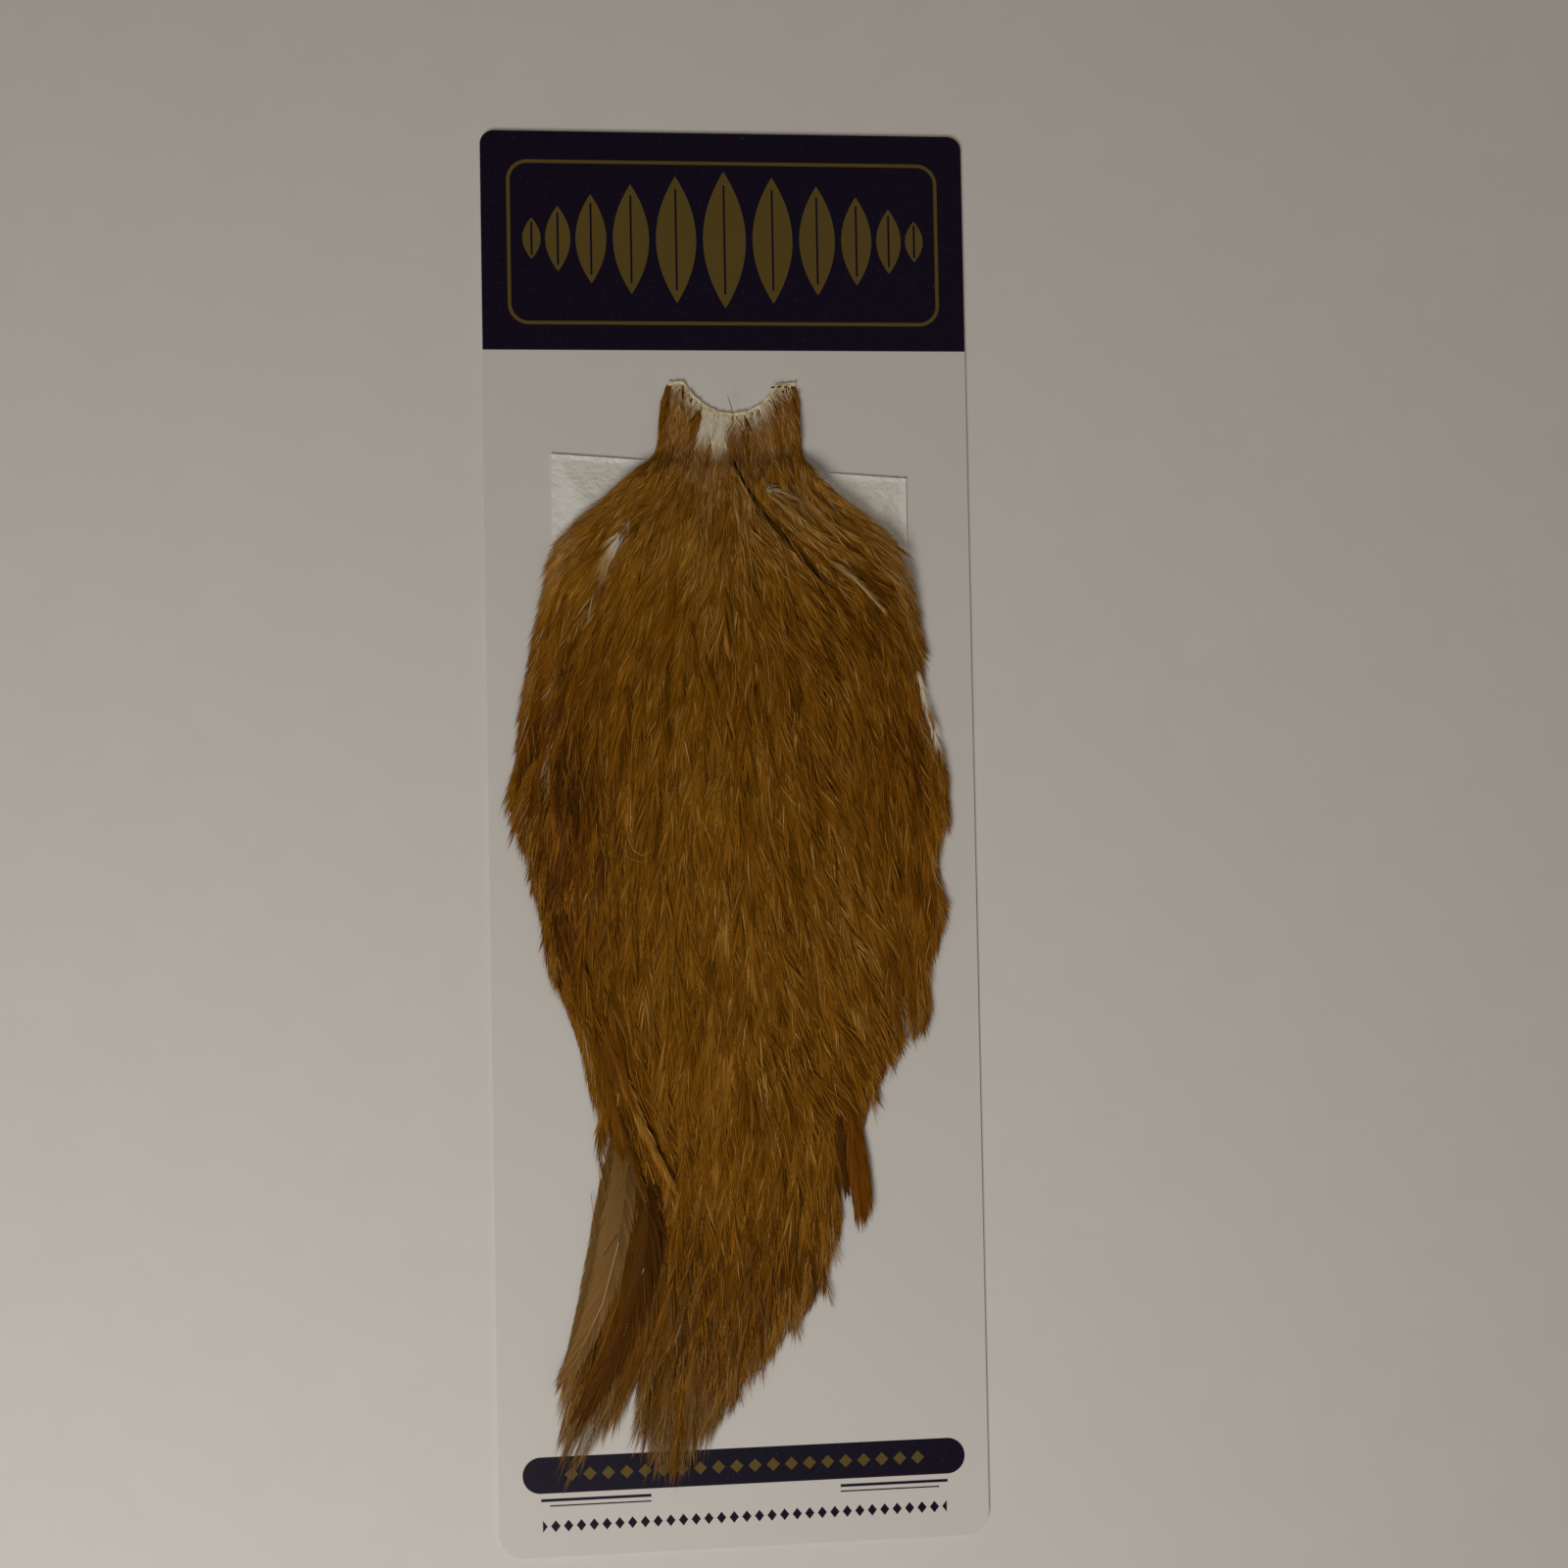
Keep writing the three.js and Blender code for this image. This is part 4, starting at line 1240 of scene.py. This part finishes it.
# what some single feathers share
smooth = {"uneven": 0.2, "thin": 0.5}
lobeSide = {"group": 1, "thin": 0.22}
slim = {"group": 1, "uneven": 0.5}
wisp = {"family": 4, "thin": 0.11, "dense": 0.4}
specials = [
    # the slim pale feather at the lobe's lower edge, and a pale wisp above it along its middle that is a
    # painted highlight
    single([(24.6, 79.2), (42.0, 63.6)], 1.2, 1.0, 2.5, 0.8, **slim, dense=2.5, angles=(18, 4)),
    single([(26.6, 77.6), (41.4, 63.8)], 0.45, 0.28, 3.1, 0.8, **slim, family=3, dense=2, angles=(12, 4)),
    single([(7.0, 99.4), (17.8, 95.2)], 1.4, 0.22, 1.4, 0.5, **lobeSide, family=3, dense=2),
    single([(7.2, 99.1), (17.6, 93.2)], 1.4, 0.5, 1.3, 0.4, **lobeSide, dense=2.4, base=3.6),
    single([(7.6, 98.6), (16.8, 91.0)], 1.4, 1.0, 1.2, 0.3, group=1, thin=0.2, dense=1.8),
    # pale wisps on the left shoulder
    single([(-29.0, 87.6), (-36.4, 75.4)], 2.6, 0.75, 2.3, -0.5, thin=0.2, dense=1.6, base=8.5),
    single([(-30.2, 85.0), (-37.0, 72.0)], 2.4, 0.65, 2.1, -0.4, thin=0.18, dense=1.3, base=8),
    single([(-33.2, 79.4), (-38.2, 66.0)], 1.6, 0.4, 1.6, -0.2, thin=0.15, dense=0.9, base=6),
    single([(-27.0, 91.0), (-32.6, 81.0)], 1.3, 0.45, 1.6, -0.3, thin=0.16, dense=1.0, base=4),
    single([(-41.0, 67.4), (-44.0, 54.0)], 1.3, 0.1, 0.7, 0.3, thin=0.14, dense=0.6, base=6),
    single([(-49.4, 47.0), (-52.4, 31.0)], 1.5, 0.4, 0.5, 0.2, **wisp),
    single([(-51.6, 30.0), (-53.4, 12.0)], 1.7, 0.4, 0.5, 0.2, **wisp),
    # the cream strip on the right edge
    single([(51.4, 52.0), (57.6, 30.0)], 1.6, 0.5, 1.2, 0.5, **lobeSide, dense=1.6, base=17),
    single([(54.4, 39.0), (60.4, 19.0)], 1.6, 0.48, 1.1, 0.6, **lobeSide, dense=1.5, base=16),
    single([(53.0, 37.0), (55.8, 23.0)], 0.7, 0.2, 1.0, 0.3, group=1, thin=0.17, dense=0.8, base=8),
    # a smooth brown feather on the left of the rump, then an orange one and a gold one beside it
    single([(-43.4, -42), (-40.6, -56), (-37.4, -70), (-32.6, -86)], (4.2, 1.6), 0.26, 1.3,
           thin=0.45, uneven=0.3, dense=3, angles=(24, 8)),
    single([(-40.5, -42), (-37.6, -54), (-33.8, -66), (-29.6, -78)], (1.8, 1.6), 0.26, 2.0,
           family=1, thin=0.4, uneven=0.4, dense=3),
    single([(-36.2, -58), (-32.4, -69), (-28.2, -79.5), (-24.2, -88.7), (-19.4, -98)], (2.8, 1.7), 0.66, 2.3,
           thin=0.34, uneven=0.5, dense=3, quill=0.3),
    single([(-36.4, -66), (-34, -80), (-30.4, -92), (-27.4, -102)], (2.6, 2.2), 0.5, 1.3,
           family=2, thin=0.4, uneven=0.4, dense=3),
    # broad smooth feathers down the left of the tail
    single([(-31, -76), (-32.6, -96), (-33.4, -105), (-35.0, -115), (-37, -125), (-43, -138), (-49.6, -152)],
           (9.4, 4.4), 0.32, 1.6, family=4, thin=0.5, uneven=0.12, dense=5, quill=0.8, angles=(36, 14),
           longest=24),
    single([(-34, -80), (-37.6, -96), (-39.6, -110), (-42, -124), (-46.4, -136), (-51.2, -154)],
           (4.2, 5.0), 0.16, 0.5, family=4, thin=0.5, uneven=0.15, dense=4, quill=0.4, angles=(30, 12),
           longest=20),
    single([(-31, -78), (-28, -95), (-26.6, -105), (-26.2, -115), (-28, -125), (-31, -134), (-36, -143),
            (-43, -157), (-46, -163)],
           (6.6, 5.4), 0.36, 1.9, family=2, thin=0.5, uneven=0.15, dense=5, quill=0.8, angles=(28, 11),
           longest=20),
    single([(-30, -76), (-31.6, -92), (-31.6, -106), (-33, -120), (-37, -136), (-44, -153)],
           (2.6, 3.4), 0.20, 1.2, thin=0.4, uneven=0.2, dense=4, quill=0.3),
    single([(-21.0, -96.0), (-35.0, -156.0)], 4.2, 0.55, 1.3, 3.0, family=2, uneven=0.3, dense=3, thin=0.4),
    # the dark feather under the right of the rump
    single([(29.6, -66), (31.4, -80), (32.8, -94), (33.6, -106)], (5.4, 4.2), 0.22, 1.0,
           **smooth, past=9, family=1, group=1, dense=6, angles=(20, 2.5), longest=18),
    single([(31.4, -70), (33.2, -84), (34.8, -95), (35.4, -103)], (3.2, 2.6), 0.24, 0.8,
           **smooth, past=9, family=1, group=1, dense=5, angles=(16, 2)),
    single([(32.2, -68), (34.2, -84), (35.4, -96), (36.0, -104)], (1.6, 1.0), 0.30, 0.8,
           family=1, group=1, thin=0.3, uneven=0.3, dense=3),
    single([(28.5, -72.0), (30.0, -103.0)], 2.4, 0.2, 1.2, -0.2, family=2, group=1, dense=2, uneven=0.4),
    single([(31.0, -84.0), (33.0, -107.0)], 1.0, 0.4, 0.6, 0.2, family=1, group=1, thin=0.2, dense=0.8),
]
for root, tip, width, tone, lift, bend, family, thin in openTips:
    specials.append(single([root, tip], width, tone, lift, bend, family=family, thin=thin))
for root, tip, width, bend in thinTips:
    specials.append(single([root, tip], width, 0.4, 0.5, bend, family=4, thin=0.15, dense=0.9))


def specialFeathers():
    share = np.linspace(0, 1, 15)
    sets = []
    for feather in specials:
        if len(feather["points"]) > 2:
            path, length = smoothPath(feather["points"], share)
        else:
            root, tip = np.array(feather["points"], float)
            away = tip - root
            length = np.hypot(*away)
            across = np.array([-away[1], away[0]]) / length
            path = root + away * share[:, None]
            path = path + across * feather["bend"] * np.sin(math.pi * share)[:, None]
        opts = {
            **feathers, "barbs": int(length * feather["dense"]), "barbAngles": feather["angles"],
            "barbLength": feather["longest"] / max(length, 20), "barbWidth": feather["thin"], "fringe": None,
            **{key: feather[key] for key in ("uneven", "past", "quill")},
        }
        tone, family, lift, group, base = (
            np.array([float(feather[key])]) for key in ("tone", "family", "lift", "group", "base")
        )
        width = np.reshape(feather["width"], (1, -1))
        paleBase = base if feather["base"] else None
        sets.append(vane(path[None], np.array([length]), width, tone, opts, family, lift, paleBase, group))
    featherPiece("feathers_single", sets)


specialFeathers()

# stray hairs and the dark ends of cut quills: points, width, family and tone
strays = [
    ([(1.4, 120.4, 4), (0.9, 122.4, 5), (0.2, 124.2, 5.6), (-0.2, 125.8, 6)], 0.22, 2, 0.3),
    ([(-29.6, 2.6, 15), (-30.4, -0.6, 16), (-29.0, -4.2, 16), (-26.2, -5.8, 16), (-24.2, -4.4, 16),
      (-24.6, -1.6, 16)], 0.2, 0, 0.8),
    ([(-31.8, 1.6, 15), (-32.0, -2.6, 16), (-30.2, -6.4, 16), (-26.6, -7.6, 16), (-23.4, -6.6, 16)],
     0.18, 0, 0.7),
    ([(12.6, 128.5, 2.5), (13.4, 128.6, 2.6), (14.0, 128.5, 2.5)], 0.6, 2, 0.35),
    ([(14.4, 128.6, 2.5), (15.2, 128.7, 2.6), (15.9, 128.6, 2.5)], 0.6, 2, 0.2),
    ([(16.4, 128.6, 2.5), (17.1, 128.7, 2.6), (17.8, 128.5, 2.5)], 0.6, 2, 0.3),
]


def strayHairs():
    sets = []
    for line, width, family, tone in strays:
        each = (np.array([value]) for value in (width, 0.0, tone, family))
        sets.append(ribbons(np.array([line], float), *each, np.ones((1, len(line)))))
    featherPiece("stray_hairs", sets)


strayHairs()


# Floor and light

studio = {
    "floor": {"colour": (0.82, 0.80, 0.765), "half": 3.0, "level": -0.0003},
    "world": (0.12, (1.0, 0.90, 0.78)),
    "key": {"place": (-0.34, -0.56, 0.70), "size": 0.5, "power": 4.02, "colour": (1.0, 0.97, 0.93)},
    "fill": {"place": (0.35, 0.50, 0.95), "size": 0.6, "power": 0.45, "colour": (1.0, 0.88, 0.76)},
}


def makeFloor(colour, half, level):
    look = Look("floor", Roughness=0.75)
    spot, *_ = look.place()
    lighter = tuple(1.05 * v for v in colour)
    look.feed("Base Color", look.mix(look.noise(spot, 60, 3, 0.5), colour, lighter))
    mesh = bpy.data.meshes.new("floor")
    corners = [(x * half, y * half, level) for x, y in ((-1, -1), (1, -1), (1, 1), (-1, 1))]
    mesh.from_pydata(corners, [], [(0, 1, 2, 3)])
    mesh.materials.append(look.material)
    floor = link("floor", mesh)


def makeLight(name, place, size, power, colour):
    data = bpy.data.lights.new(name, "AREA")
    data.shape = "DISK"
    data.size = size
    data.energy = power
    data.color = colour
    spot = Matrix.Translation(place)
    aim = (-spot.translation).to_track_quat("-Z", "Y").to_matrix().to_4x4()
    link(name, data).matrix_world = spot @ aim


makeFloor(**studio["floor"])
makeLight("key", **studio["key"])
makeLight("fill", **studio["fill"])
world = bpy.data.worlds.new("studio")
world.use_nodes = True
strength, colour = studio["world"]
background = world.node_tree.nodes["Background"].inputs
background[0].default_value = (*colour, 1)
background[1].default_value = strength
bpy.context.scene.world = world
bpy.context.scene.view_settings.view_transform = "Standard"
